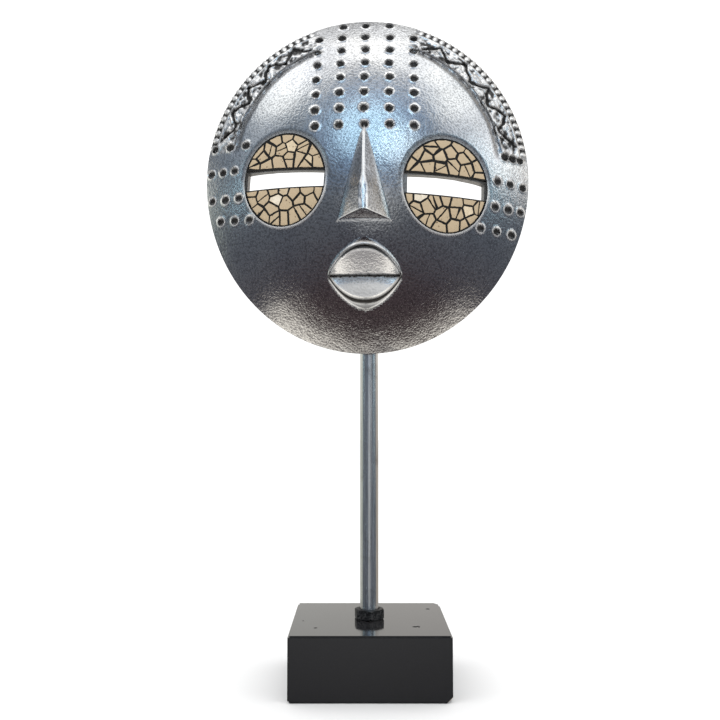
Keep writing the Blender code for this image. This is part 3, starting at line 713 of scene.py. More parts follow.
def bead_relief(u, v, share, turn):
    """The row of rounded beads along the rim, parted by crossed chisel cuts."""
    end = np.where(turn > 0, BAND_ENDS[1], BAND_ENDS[-1])
    count = np.round(np.radians(end - BAND_START) * MASK_HALF_WIDTH / BEAD_PITCH)
    beat = (np.abs(turn) - BAND_START) / (end - BAND_START) * count
    border = in_band(turn) * ease(BORDER_INSIDE + 0.001, BORDER_INSIDE + 0.005, share)
    along = (beat - np.round(beat)) * BEAD_PITCH
    across = (share - (BORDER_INSIDE + 1) / 2) / ((1 - BORDER_INSIDE) / 2)
    cross = np.abs(np.abs(along) - 1.0 * MM * np.abs(across))
    cut = 1 - ease(0.25 * MM, 0.95 * MM, cross)
    crown = hill(0.5 * BEAD_PITCH, 0.42 * BEAD_PITCH, np.abs(along))
    height = 0.45 * MM * crown - 1.2 * MM * cut - 0.45 * MM * across * across
    # Darker in the chisel cuts, patina and painted shade; lighter on the bead crowns, polish and painted
    # highlight
    return border * height, border * np.clip(1.25 * cut, 0, 1), border * crown * (1 - cut)


def pit_spots():
    """Middle and radius of every pit: columns on the forehead, a patch on each temple, none quite even."""
    spots = []
    for column in range(PIT_COLUMNS):
        u = (column - (PIT_COLUMNS - 1) / 2) * PIT_COLUMN_SPACING
        for row in range(PIT_ROWS):
            v = PIT_FIRST_ROW + row * PIT_ROW_SPACING
            if share_and_turn(u, v)[0] < 0.98:
                spots.append((u, v))
    for side in (-1, 1):
        for level, inner, outer in TEMPLE_ROWS[side]:
            for column in range(TEMPLE_COLUMNS):
                share = inner + (outer - inner) * column / (TEMPLE_COLUMNS - 1)
                v = level - TEMPLE_LEAN * side * (share - (inner + outer) / 2) * MASK_HALF_WIDTH
                height = MASK_RISE if v > 0 else MASK_FALL
                spots.append((side * MASK_HALF_WIDTH * math.sqrt(share ** 2 - (v / height) ** 2), v))
    rng = random.Random("pits")
    off = 0.35 * MM
    return [
        (u + rng.uniform(-off, off), v + rng.uniform(-off, off), PIT_RADIUS * rng.uniform(0.92, 1.05))
        for u, v in spots
    ]


PITS = pit_spots()


def pit_relief(u, v, share, turn):
    """Round punched pits, each with the thin rim that the punch threw up and a glint low inside."""
    height, dark, bright = (np.zeros(u.shape) for _ in range(3))
    for middle_u, middle_v, radius in PITS:
        out = np.hypot(u - middle_u, v - middle_v) / radius
        near = np.where(out < 1.8)[0]
        out = out[near]
        bowl = np.clip(1 - out * out, 0, 1) ** 0.5
        uneven = ease(-0.5, 0.4, lumps(u[near], v[near], 3 * MM, 25))
        rim = hill(1.07, 0.3, out)
        low = ease(0.2, 0.7, (middle_v - v[near]) / radius) * hill(0.62, 0.28, out)
        height[near] += 0.42 * MM * rim - PIT_DEPTH * bowl
        # The bowl is darkened, patina and painted shade, except a painted glint on its lower wall; the
        # thrown-up rim is lightened, polish and painted highlight
        dark[near] += 0.96 * (1 - ease(0.8, 1.0, out)) * (1 - 0.8 * low * uneven)
        bright[near] += rim * (1 - ease(0.5, 1.0, bowl)) * (0.7 + 0.3 * uneven)
    return height, dark, bright


def eye_centre(side):
    u = side * EYE_SPACING / 2
    return u, EYE_HEIGHT - SIDE_LEAN * u


def slit_tilt(side):
    """How far the slit is turned up towards the right."""
    return side * SLIT_RISE_OUTWARD - math.atan(SIDE_LEAN)


def eye_rim_relief(u, v, share, turn):
    """The rolled edge over each eye with painted shade along its upper half, and the thin lip under it with a
    painted highlight.
    """
    height, dark, bright = (np.zeros(u.shape) for _ in range(3))
    for side in (-1, 1):
        middle_u, middle_v = eye_centre(side)
        across, along = (u - middle_u) / EYE_HALF_WIDTH, (v - middle_v) / EYE_HALF_HEIGHT
        out = np.hypot(across, along)
        off = (out - 1) * EYE_HALF_WIDTH
        upper = ease(-0.35, 0.5, along / np.maximum(out, 0.1))
        roll = (1 - ease(0, 2.8 * MM, off)) * (off > -1.5 * MM)
        lip = hill(0.15 * MM, 1.3 * MM, off)
        height += -1.0 * MM * roll * upper + 0.4 * MM * lip * (1 - upper)
        # Painted shade along the upper rim, and a painted highlight on the lower lip
        dark += 0.35 * (1 - ease(0.2 * MM, 2.2 * MM, off)) * (off > -1.5 * MM) * upper
        bright += lip * (1 - upper)
    return height, dark, bright


def boss_share(x, y):
    """How far out a point lies from the boss's middle, as a share of its outline."""
    across = (np.abs(x) / MOUTH_HALF_WIDTH) ** MOUTH_ROUNDNESS
    along = (np.abs(y) / MOUTH_HALF_HEIGHT) ** MOUTH_ROUNDNESS
    return (across + along) ** (1 / MOUTH_ROUNDNESS)


def lip_edge(x, y):
    """Height of the almond's edge above or below the line of the lips, at a distance x from its middle."""
    reach = np.where(y > 0, LIPS_RISE, LIPS_FALL)
    return reach * (1 - np.minimum(np.abs(x) / LIPS_HALF_WIDTH, 1) ** LIPS_ROUNDNESS)


def mouth_marks(u, v):
    """How dark and bright the mouth is: its grooves, the line between the lips, painted shade below that line
    and on the boss's lower crescent, and painted highlights on the lips and their worn edges.
    """
    x, y = u, v - MOUTH_HEIGHT
    boss = boss_share(x, y)
    up = y - LIPS_LINE
    edge = lip_edge(x, up)
    off = (np.abs(up) - edge) / np.hypot(1, LIPS_ROUNDNESS * edge / LIPS_HALF_WIDTH)
    inside = (boss < 1.03) & (np.abs(x) < LIPS_HALF_WIDTH * 1.02)
    groove = inside * np.clip(1.5 * hill(0.6 * MM, 1.2 * MM, off), 0, 1)
    ragged = 0.3 * MM * lumps(u, v, 1.3 * MM, 62)
    on_line = inside * (np.abs(x) < LIPS_HALF_WIDTH * 0.97)
    split = on_line * (1 - ease(0.6 * MM, 1.3 * MM, np.abs(up + ragged)))
    specked = ease(0.0, 0.35, lumps(u, v, 1.1 * MM, 63))
    pitted = inside * hill(1.7 * MM, 2.6 * MM, up) * hill(0, 15 * MM, x) * specked
    # Painted shadow in a band just below the line of the lips
    shade = inside * (off < 0) * hill(-1.4 * MM, 3.4 * MM, up) * (up < 0) * 0.55
    # Painted highlight over the upper lip
    on_lips = inside * (off < -0.5 * MM) * (up > 0) * 0.5
    # The lips' edges, lightened as wear and as a painted highlight
    worn = inside * (hill(-0.7 * MM, 0.9 * MM, off) + hill(2.0 * MM, 1 * MM, off))
    # Painted reflection lightening the lower lip
    lower_glow = inside * (off < 0) * (up < 0) * ease(1.6 * MM, 7 * MM, -up) * 0.65
    # Painted shade on the boss's lower crescent
    under = inside * (up < 0) * ease(1.2 * MM, 2.0 * MM, off) * 0.76 * (1 - hill(0.985, 0.03, boss))
    dark = np.maximum.reduce([groove, split, shade, pitted, under])
    return dark, np.maximum.reduce([worn, on_lips, lower_glow]) * (1 - groove)


RELIEFS = (band_relief, zigzag_relief, bead_relief, pit_relief, eye_rim_relief)


def relief(u, v):
    """Height over the dome, and how dark and how bright each point of the face is."""
    share, turn = share_and_turn(u, v)
    height = 0.06 * MM * lumps(u, v, 9 * MM, 31) + 0.025 * MM * lumps(u, v, 2.6 * MM, 32)
    height *= 1 - ease(RELIEF_ENDS, 1.0, share)
    dark, bright = np.zeros(u.shape), np.zeros(u.shape)
    for part in RELIEFS:
        raised, darker, brighter = part(u, v, share, turn)
        height += raised
        dark += darker
        bright += brighter
    return height, np.clip(dark, 0, 1), np.clip(bright, 0, 1) * (1 - np.clip(dark, 0, 1))


def square_grid(rings):
    """A grid with square topology wrapped to a disc: each point's ring and its angle as a share of a turn."""
    a, b = np.meshgrid(np.arange(-rings, rings + 1), np.arange(-rings, rings + 1), indexing="ij")
    a, b = a.ravel(), b.ravel()
    ring = np.maximum(np.abs(a), np.abs(b))
    walk = np.select(
        [(a == ring) & (b > -ring), (b == ring), (a == -ring), (b == -ring)],
        [ring + b, 3 * ring - a, 5 * ring - b, 7 * ring + a],
    )
    return ring, walk, np.where(ring > 0, walk / np.maximum(8 * ring, 1), 0)


def grid_faces(rings, first, flip):
    side = 2 * rings + 1
    i, j = np.meshgrid(np.arange(side - 1), np.arange(side - 1), indexing="ij")
    corner = (i * side + j).ravel() + first
    faces = np.column_stack((corner, corner + side, corner + side + 1, corner + 1))
    return (faces[:, ::-1] if flip else faces).tolist()


def rim_order(ring, walk, rings, first):
    """The grid's outermost points in order round the rim."""
    outer = np.where(ring == rings)[0]
    return (outer[np.argsort(walk[outer] % (8 * rings))] + first).tolist()


def inside_edge(turn):
    """The share of the outline where the inside of the casting meets the flat back of the rim."""
    low, high = np.full(turn.shape, 0.5), np.full(turn.shape, 1.0)
    for _ in range(HALVINGS):
        middle = (low + high) / 2
        outside = inner_dome(*on_outline(middle, turn)) > -RIM_THICKNESS
        low, high = np.where(outside, middle, low), np.where(outside, high, middle)
    return low


def snap_to_pits(u, v, reach):
    """Moves the points nearest to each pit's edge onto it, so that the edge is round."""
    for middle_u, middle_v, radius in PITS:
        for edge in (radius, radius * PIT_RIM):
            du, dv = u - middle_u, v - middle_v
            out = np.hypot(du, dv)
            near = np.abs(out - edge) < reach
            u = np.where(near, middle_u + du * edge / np.maximum(out, reach), u)
            v = np.where(near, middle_v + dv * edge / np.maximum(out, reach), v)
    return u, v


def casting():
    """The whole casting in one fine mesh, before its eyes are cut and its nose, mouth and socket joined."""
    ring, walk, around = square_grid(FRONT_RINGS)
    out = ring / FRONT_RINGS
    share = np.interp(out, (0, 1 - RIM_RINGS_SHARE, 1), (0, RIM_STARTS, 1))
    u, v = on_outline(share, 360 * around - 180)
    inner = share < RELIEF_ENDS
    moved = snap_to_pits(u, v, PIT_SNAP)
    u, v = np.where(inner, moved[0], u), np.where(inner, moved[1], v)
    height, _, _ = relief(u, v)
    front = row_points(u, v, dome(u, v) + height)
    front_rim = rim_order(ring, walk, FRONT_RINGS, 0)
    rim_turn = 360 * around[front_rim] - 180

    def rim_ring(share, w):
        ring_u, ring_v = on_outline(share, rim_turn)
        return row_points(ring_u, ring_v, np.full(ring_u.shape, w))

    edges = [rim_ring(1.0, -0.7 * RIM_THICKNESS), rim_ring(0.996, -RIM_THICKNESS)]
    back_rings = FRONT_RINGS // BACK_STEP
    back_ring, back_walk, back_around = square_grid(back_rings)
    back_turn = 360 * back_around - 180
    edge = inside_edge(back_turn)
    back_u, back_v = on_outline(edge * back_ring / back_rings, back_turn)
    back_w = inner_dome(back_u, back_v) + 0.3 * MM * lumps(back_u, back_v, 5 * MM, 41)
    back_w = np.where(back_ring == back_rings, -RIM_THICKNESS, back_w)
    back = row_points(back_u, back_v, back_w)

    count = 8 * FRONT_RINGS
    points = np.concatenate([front, *edges, back])
    faces = grid_faces(FRONT_RINGS, 0, flip=True)
    starts = [len(front) + k * count for k in range(len(edges))]
    loops = [front_rim] + [list(range(start, start + count)) for start in starts]
    for one, two in zip(loops, loops[1:]):
        faces += [[one[i], one[(i + 1) % count], two[(i + 1) % count], two[i]] for i in range(count)]
    back_first = len(front) + len(edges) * count
    faces += grid_faces(back_rings, back_first, flip=False)
    back_rim = rim_order(back_ring, back_walk, back_rings, back_first)
    for k in range(len(back_rim)):
        fine = [loops[-1][(k * BACK_STEP + i) % count] for i in range(BACK_STEP + 1)]
        faces.append(fine + [back_rim[(k + 1) % len(back_rim)], back_rim[k]])
    mesh = bpy.data.meshes.new("casting")
    mesh.from_pydata(points.tolist(), [], faces)
    bm = bmesh.new()
    bm.from_mesh(mesh)
    bpy.data.meshes.remove(mesh)
    return tool("casting", bm)


def nose_ridge(grown):
    """Half the width of the ridge and of its painted highlight: narrow from the apex down, and wider past the
    middle.
    """
    return NOSE_RIDGE * (RIDGE_APEX + RIDGE_GAIN * ease(0.5, 0.7, grown))


def nose_proud(grown):
    """How far the nose stands out of the dome, from its apex at 0 to its base at 1."""
    return NOSE_DEPTH * (NOSE_APEX_DEPTH + (1 - NOSE_APEX_DEPTH) * grown)


def nose():
    """The wedge from its apex to a flared base, still open at both ends, with its rings of points."""
    bm = bmesh.new()
    stations = 54
    rings = []
    for i in range(1, stations + 1):
        grown = i / stations
        v = NOSE_TOP + (NOSE_BOTTOM - NOSE_TOP) * grown
        half = NOSE_HALF_WIDTH * (NOSE_APEX_WIDTH + (1 - NOSE_APEX_WIDTH) * grown)
        ridge = float(nose_ridge(grown)) / half
        proud = nose_proud(grown)
        lift = NOSE_TIP_RISE * float(ease(0.8, 1, grown))
        profile = [(-1.0, -0.5 * WALL / proud), (-1.0, 0.0), (-0.94, 0.085)]
        steps = [(k + 1) / 9 for k in range(9)]
        profile += [(-0.94 + (0.94 - ridge) * t, 0.085 + 0.885 * t ** 0.88) for t in steps]
        profile += [(-0.75 * ridge, 0.978), (-0.4 * ridge, 0.993), (0.0, 1.0)]
        profile += [(-x, y) for x, y in profile[-2::-1]]
        spots = []
        for x, y in profile:
            up = max(0.0, y) ** 1.2
            worn = 0.07 * MM * lump(x * half, v, 1.6 * MM, 51) if 0 < y < 0.97 else 0.0
            spots.append(at(x * half, v + lift * up, dome(0, v) + y * proud + worn))
        rings.append(add_ring(bm, spots))
    loft(bm, rings)
    return bm, rings


def nose_tool():
    bm, rings = nose()
    apex = NOSE_TOP + (NOSE_TOP - NOSE_BOTTOM) / 12
    close_ring(bm, rings[0], at(0, apex, dome(0, apex) - 0.5 * MM))
    base = [vert.co.copy() for vert in rings[-1]]
    middle = sum(base, Vector()) / len(base)
    edge = add_ring(bm, [point.lerp(middle, 0.03) + Vector((0, 0, 0.1 * MM)) for point in base])
    hollow = add_ring(bm, [point.lerp(middle, 0.13) + Vector((0, 0, 0.8 * MM)) for point in base])
    loft(bm, [rings[-1], edge, hollow])
    close_ring(bm, hollow, middle + Vector((0, 0, 1.8 * MM)))
    return tool("nose", bm)


def mouth_proud(x, y):
    """How far the mouth stands out of the dome, from the boss's middle."""
    boss = MOUTH_DEPTH * (1 - min(float(boss_share(x, y)), 1) ** MOUTH_CROWN)
    up = y - LIPS_LINE
    edge = float(lip_edge(x, up))
    if edge <= 0 or abs(up) >= edge:
        return boss
    swell = abs(up) / edge
    if up < 0:
        swell = swell ** LOWER_LIP_SWELL
    thinning = 1 - 0.5 * abs(x / LIPS_HALF_WIDTH) ** 3
    return MOUTH_DEPTH * (LIPS_LINE_DEPTH + (1 - LIPS_LINE_DEPTH) * swell) * thinning


def mouth_tool():
    """The boss with almond lips inside a groove, in rings from the middle of the lips outwards."""
    bm = bmesh.new()
    sides = 180
    lips = [0.04 + 0.955 * i / 19 for i in range(20)]
    slope = [i / 10 for i in range(1, 11)]
    step = 0.05 * MM
    rows = []
    for i in range(sides):
        angle = 2 * math.pi * i / sides
        along_u, along_v = math.cos(angle), math.sin(angle)
        boss = 1 / float(boss_share(along_u, along_v))
        almond = 0.0
        while almond < 0.93 * boss and abs(along_v * almond) < lip_edge(along_u * almond, along_v):
            almond += step
        room = boss - almond
        start = min(1.5 * MM, 0.5 * room)
        reaches = [(share * almond, 0.0) for share in lips]
        reaches += [(almond + 0.25 * start, 0.8), (almond + 0.5 * start, 1.0), (almond + start, 0.2)]
        reaches += [(almond + start + (room - start) * share, 0.0) for share in slope]
        row = []
        for reach, sunk in reaches:
            last = reach >= boss * 0.9999
            x, y = along_u * reach, along_v * reach + LIPS_LINE * (1 - reach / boss)
            proud = 0.0 if last else mouth_proud(x, y) - LIPS_GROOVE * sunk
            worn = 0.0 if last else 0.025 * MM * lump(x, y, 1.2 * MM, 61)
            row.append(at(x, MOUTH_HEIGHT + y, dome(x, MOUTH_HEIGHT + y) + proud + worn))
        u, v = along_u * boss, MOUTH_HEIGHT + along_v * boss
        row.append(at(u, v, dome(u, v) - 0.5 * WALL))
        rows.append(row)
    rings = [add_ring(bm, [row[k] for row in rows]) for k in range(len(rows[0]))]
    loft(bm, rings)
    middle = MOUTH_HEIGHT + LIPS_LINE
    close_ring(bm, rings[0], at(0, middle, dome(0, middle) + mouth_proud(0, LIPS_LINE)))
    close_ring(bm, rings[-1], at(0, MOUTH_HEIGHT, dome(0, MOUTH_HEIGHT) - 0.5 * WALL))
    return tool("mouth", bm)


def lip_split_tool():
    """The ragged V along the line where the lips meet."""
    bm = bmesh.new()
    rng = random.Random("split")
    reach = LIPS_HALF_WIDTH * LIPS_SPLIT_REACH
    steps = 64
    rows = []
    for i in range(steps + 1):
        u = reach * (2 * i / steps - 1)
        v = MOUTH_HEIGHT + LIPS_LINE + rng.uniform(-0.3, 0.3) * MM
        taper = min(1.0, (1 - abs(u) / reach) * 6 + 0.35)
        half = LIPS_SPLIT / 2 * rng.uniform(0.7, 1.3) * taper
        floor = dome(u, v) + mouth_proud(u, LIPS_LINE)
        rows.append(add_ring(bm, [
            at(u, v - 2 * half, floor + half), at(u, v + 2 * half, floor + half),
            at(u, v, floor - LIPS_SPLIT * taper * rng.uniform(0.8, 1.1)),
        ]))
    loft(bm, rows)
    bm.faces.new(rows[0])
    bm.faces.new(rows[-1])
    return tool("lip split", bm)


def add_pad(bm, outline, bottom, top, rings=0):
    """Adds a closed solid over a convex outline in u and v, between two surfaces."""
    middle_u = sum(u for u, _ in outline) / len(outline)
    middle_v = sum(v for _, v in outline) / len(outline)

    def ring(surface, share):
        spots = [(middle_u + (u - middle_u) * share, middle_v + (v - middle_v) * share) for u, v in outline]
        return add_ring(bm, [at(u, v, surface(u, v)) for u, v in spots])

    shares = [1 - i / (rings + 1) for i in range(rings + 1)]
    low = [ring(bottom, share) for share in shares]
    high = [ring(top, share) for share in shares]
    bridge(bm, low[0], high[0])
    loft(bm, low)
    loft(bm, high)
    close_ring(bm, low[-1], at(middle_u, middle_v, bottom(middle_u, middle_v)))
    close_ring(bm, high[-1], at(middle_u, middle_v, top(middle_u, middle_v)))


def oval(side, margin, sides):
    centre_u, centre_v = eye_centre(side)
    half_u, half_v = EYE_HALF_WIDTH - margin, EYE_HALF_HEIGHT - margin
    angles = [2 * math.pi * i / sides for i in range(sides)]
    return [(centre_u + half_u * math.cos(a), centre_v + half_v * math.sin(a)) for a in angles]


def pocket_tool(side):
    bm = bmesh.new()
    add_pad(bm, oval(side, 0, 120), off_dome(-POCKET_DEPTH), off_dome(WALL), rings=3)
    return tool("pocket", bm)


def slit_end(side, end, upper):
    """One corner of a slit, in u and v. End is 0 towards the nose and 1 towards the temple."""
    tilt = slit_tilt(side)
    centre_u, centre_v = eye_centre(side)
    along = side * SLIT_REACH[side][end]
    away = upper * SLIT_HEIGHT / 2
    if upper < 0 and end == 0:
        away += SLIT_NOSE_LIFT[side]
    u = centre_u + along * math.cos(tilt) - away * math.sin(tilt)
    return u, centre_v + along * math.sin(tilt) + away * math.cos(tilt)


def slit_corner(side, end, upper, depth):
    """One corner of a slit at a depth below the dome."""
    u, v = slit_end(side, end, upper)
    closing = side * SLIT_END_SLOPE[side] * depth if end == 1 else 0.0
    sinking = SLIT_TOP_SLOPE[side][end] * depth if upper == 1 else 0.0
    return at(u - closing, v - sinking, dome(u, v) - depth)


def slit_tool(side):
    """A slot right through the wall, which narrows towards the back."""
    bm = bmesh.new()
    corners = ((0, -1), (1, -1), (1, 1), (0, 1))
    rings = [
        add_ring(bm, [slit_corner(side, end, upper, depth) for end, upper in corners])
        for depth in (-WALL, 3 * WALL)
    ]
    bridge(bm, *rings)
    for ring in rings:
        bm.faces.new(ring)
    return tool("slit", bm)


def socket_tool():
    """The round socket on the mask's back, its mouth and cap eased, on the rod's own axis."""
    bm = bmesh.new()
    ease_edge = 0.8 * MM
    turned(bm, (
        (SOCKET_RADIUS - ease_edge, SOCKET_BOTTOM), (SOCKET_RADIUS, SOCKET_BOTTOM + ease_edge),
        (SOCKET_RADIUS, SOCKET_TOP - 2 * ease_edge), (SOCKET_RADIUS - 2 * ease_edge, SOCKET_TOP),
    ), 64)
    return tool("socket", bm)


def web_tool():
    bm = bmesh.new()
    steps = 10
    spots = []
    for i in range(steps + 1):
        z = SOCKET_BOTTOM + (SOCKET_TOP - SOCKET_BOTTOM) * (0.02 + 0.96 * i / steps)
        v = z - WIDEST_HEIGHT
        spots.append((RIM_PLANE - float(dome(0, v) + inner_dome(0, v)) / 2, z))
    spots += [(0, spots[-1][1]), (0, spots[0][1])]
    sides = [add_ring(bm, [Vector((x, y, z)) for y, z in spots]) for x in (-SOCKET_WEB / 2, SOCKET_WEB / 2)]
    bridge(bm, *sides)
    for side in sides:
        bm.faces.new(side)
    return tool("web", bm)


def rod_bore_tool(radius):
    bm = bmesh.new()
    turned(bm, ((radius, SOCKET_BOTTOM - WALL), (radius, SOCKET_BOTTOM + SOCKET_BORE_DEPTH)), 64)
    return tool("bore", bm)


def nose_marks(u, v, w, below):
    """The painted shade on the underside of the nose, and the painted highlights on its worn ridge, foot and
    tip.
    """
    on_nose = (np.abs(u) < NOSE_HALF_WIDTH) * (v > NOSE_BOTTOM - 3 * MM) * (v < NOSE_TOP)
    # Painted shade under the nose
    under = 0.2 * ease(0.3, 0.8, (NOSE_BOTTOM + 2.8 * MM - v) / (3 * MM))
    under *= (below < -0.6 * MM) * (v > NOSE_BOTTOM - 2 * MM)
    grown = np.clip((NOSE_TOP - v) / (NOSE_TOP - NOSE_BOTTOM), 0.02, 1)
    # Painted highlight along the ridge, with some wear
    ridge = on_nose * (1 - ease(0.9, 1.4, np.abs(u) / nose_ridge(grown)))
    ridge *= below < -0.9 * nose_proud(grown)
    streaks = ease(-0.4, 0.3, lumps(u * 4, v, 3 * MM, 52)) * (1 - 0.8 * ease(0.84, 0.95, grown))
    ridge *= 1 - (1 - streaks) * ease(0.5, 0.66, grown)
    # Painted highlights along the foot and the edge of the tip
    foot = on_nose * hill(NOSE_BOTTOM, 0.9 * MM, v) * (below < 0.5 * MM) * (below > -2 * MM)
    tip_out = (w - dome(np.zeros(1), np.full(1, NOSE_BOTTOM))) / NOSE_DEPTH
    tip_edge = NOSE_BOTTOM + NOSE_TIP_RISE * np.clip(tip_out, 0, 1) ** 1.2
    tip = on_nose * hill(tip_edge, 0.6 * MM, v) * (below < -0.5 * MM) * 0.85
    return under, np.maximum.reduce([ridge, foot, tip])


def build_mask(finish):
    """One casting: the pebbled dome with its eyes cut through, and nose, mouth and socket cast on."""
    rod_low, rod_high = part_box("rod")
    bore = (rod_high.x - rod_low.x) / 2 + FIT_GAP
    backed = shaped(socket_tool(), [("UNION", web_tool()), ("DIFFERENCE", rod_bore_tool(bore))])
    fittings = placed("fittings", backed)
    mouth = placed("mouth", shaped(mouth_tool(), [("DIFFERENCE", lip_split_tool())]))
    eyes = [placed("eye", shaped(pocket_tool(side), [("UNION", slit_tool(side))])) for side in (-1, 1)]
    mesh = shaped(casting(), [
        ("UNION", fittings), ("UNION", nose_tool()), ("UNION", mouth),
        ("DIFFERENCE", eyes[0]), ("DIFFERENCE", eyes[1]),
    ])
    u, v, w = mask_points(points_of(mesh))
    below = dome(u, v) - w
    _, dark, bright = relief(u, v)
    mouth_dark, mouth_bright = mouth_marks(u, v)
    nose_dark, nose_bright = nose_marks(u, v, w, below)
    on_face = (1 - ease(*FACE_ENDS, below)) * (1 - ease(-0.2 * MM, -1.2 * MM, below))
    raw = ease(*RAW_STARTS, below)
    slit_wall = raw * (1 - ease(*SLIT_WALL_ENDS, below))
    # The darkening mark holds patina in the recesses and painted shade under the eye rims, the lips and the
    # nose
    set_mark(mesh, "patina", np.maximum.reduce([dark * on_face, mouth_dark * (1 - raw), nose_dark]))
    # The lightening mark holds polish on raised edges and painted highlights on the rims, lips and nose
    set_mark(mesh, "polish", np.maximum.reduce([bright * on_face, mouth_bright * (1 - raw), nose_bright]))
    set_mark(mesh, "raw_cast", raw - 0.3 * slit_wall)
    mesh.name = "mask_casting"
    return new_piece("mask_casting", mesh, [finish], 42, ["mask"])


# Mosaics

def clip(polygon, point, normal):
    """The part of a convex polygon on the side that the normal points to."""
    kept = []
    for i, here in enumerate(polygon):
        there = polygon[(i + 1) % len(polygon)]
        a = (here[0] - point[0]) * normal[0] + (here[1] - point[1]) * normal[1]
        b = (there[0] - point[0]) * normal[0] + (there[1] - point[1]) * normal[1]
        if a >= 0:
            kept.append(here)
        if (a < 0) != (b < 0):
            t = a / (a - b)
            kept.append((here[0] + (there[0] - here[0]) * t, here[1] + (there[1] - here[1]) * t))
    return kept


def with_short_sides(polygon, longest):
    """The same outline with points added, so that it can follow the dome."""
    points = []
    for i, here in enumerate(polygon):
        there = polygon[(i + 1) % len(polygon)]
        count = math.ceil(math.dist(here, there) / longest)
        points += [tuple(here[k] + (there[k] - here[k]) * j / count for k in (0, 1)) for j in range(count)]
    return points


def area(polygon):
    total = 0.0
    for i, (u, v) in enumerate(polygon):
        next_u, next_v = polygon[(i + 1) % len(polygon)]
        total += u * next_v - next_u * v
    return abs(total) / 2


def half_eye(side, upper, margin, sides=32):
    """The outline of the mosaic above or below the slit, going round against the clock."""
    left, right = sorted(slit_end(side, end, upper) for end in (0, 1))
    length = math.dist(left, right)
    normal = (upper * (left[1] - right[1]) / length, upper * (right[0] - left[0]) / length)
    point = (left[0] + normal[0] * margin, left[1] + normal[1] * margin)
    return clip(oval(side, margin, sides), point, normal)


def holds(outline, spot):
    """Whether a convex outline that goes round against the clock holds a point."""
    return all(
        (b[0] - a[0]) * (spot[1] - a[1]) > (b[1] - a[1]) * (spot[0] - a[0])
        for a, b in zip(outline, outline[1:] + outline[:1])
    )


def chip_seeds(outline, rng):
    """Scattered points inside an outline, each with room of its own round it."""
    across, along = ([point[k] for point in outline] for k in (0, 1))
    seeds = []
    for _ in range(CHIP_TRIES):
        spot = (rng.uniform(min(across), max(across)), rng.uniform(min(along), max(along)))
        room = CHIP_SPACING * rng.uniform(*CHIP_SPACING_SPREAD)
        if holds(outline, spot) and all(math.dist(spot, seed) > room for seed in seeds):
            seeds.append(spot)
    return seeds


def shatter(outline, rng):
    """Fills an outline with convex chips: each takes what lies nearest to its seed, less half a joint."""
    seeds = chip_seeds(outline, rng)
    chips = []
    for seed in seeds:
        inset = rng.uniform(*CHIP_INSETS)
        chip = outline
        for other in seeds:
            if other != seed:
                away = math.dist(seed, other)
                normal = [(seed[k] - other[k]) / away for k in (0, 1)]
                point = [(seed[k] + other[k]) / 2 + normal[k] * inset for k in (0, 1)]
                chip = clip(chip, point, normal)
        chips.append(chip)
    return chips


def without_slivers(chips):
    """Drops chips too small to lay, and points closer together than a tile cutter leaves them."""
    kept = []
    for chip in chips:
        points = [p for i, p in enumerate(chip) if math.dist(p, chip[i - 1]) > CHIP_SHORTEST_SIDE]
        if len(points) > 2 and area(points) > CHIP_SMALLEST_AREA:
            kept.append(points)
    return kept


def cracked(chip, rng):
    """A large chip is often cracked across, by a hairline too fine for the solid."""
    if area(chip) < CRACKED_AREA or rng.random() > CRACKED_SHARE:
        return [chip]
    middle = [sum(point[k] for point in chip) / len(chip) for k in (0, 1)]
    heading = rng.uniform(0, math.pi)
    normal = (math.cos(heading), math.sin(heading))
    return without_slivers([
        clip(
            chip, [middle[k] + side * CRACK_WIDTH / 2 * normal[k] for k in (0, 1)],
            (side * normal[0], side * normal[1]),
        )
        for side in (-1, 1)
    ])


def add_chip(bm, outline, tint_layer, rng):
    """One chip: broken sides, a fine bevel round its face and a slight tilt of its own."""
    middle_u = sum(u for u, _ in outline) / len(outline)
    middle_v = sum(v for _, v in outline) / len(outline)
    lean_u, lean_v = rng.uniform(-CHIP_SLOPE, CHIP_SLOPE), rng.uniform(-CHIP_SLOPE, CHIP_SLOPE)
    raised = rng.uniform(*CHIP_LIFT) * MM
    tint = rng.random()
    rim = [
        (u + rng.uniform(-CHIP_WAVER, CHIP_WAVER) * MM, v + rng.uniform(-CHIP_WAVER, CHIP_WAVER) * MM)
        for u, v in with_short_sides(outline, 1.7 * MM)
    ]

    def ring(inset, drop):
        spots = []
        for u, v in rim:
            away = max(math.hypot(u - middle_u, v - middle_v), 0.1 * MM)
            scale = max(1 - inset / away, 0.1)
            u, v = middle_u + (u - middle_u) * scale, middle_v + (v - middle_v) * scale
            tilt = lean_u * (u - middle_u) + lean_v * (v - middle_v)
            spots.append(at(u, v, dome(u, v) - CHIP_RECESS + raised + tilt - drop))
        made = add_ring(bm, spots)
        for vert in made:
            vert[tint_layer] = tint
        return made

    rings = [ring(0, CHIP_PROUD + CHIP_KEY)] + [ring(inset, drop) for inset, drop in CHIP_BEVEL]
    loft(bm, rings)
    height = dome(middle_u, middle_v) - CHIP_RECESS + raised
    close_ring(bm, rings[0], at(middle_u, middle_v, height - CHIP_PROUD - CHIP_KEY))
    close_ring(bm, rings[-1], at(middle_u, middle_v, height))


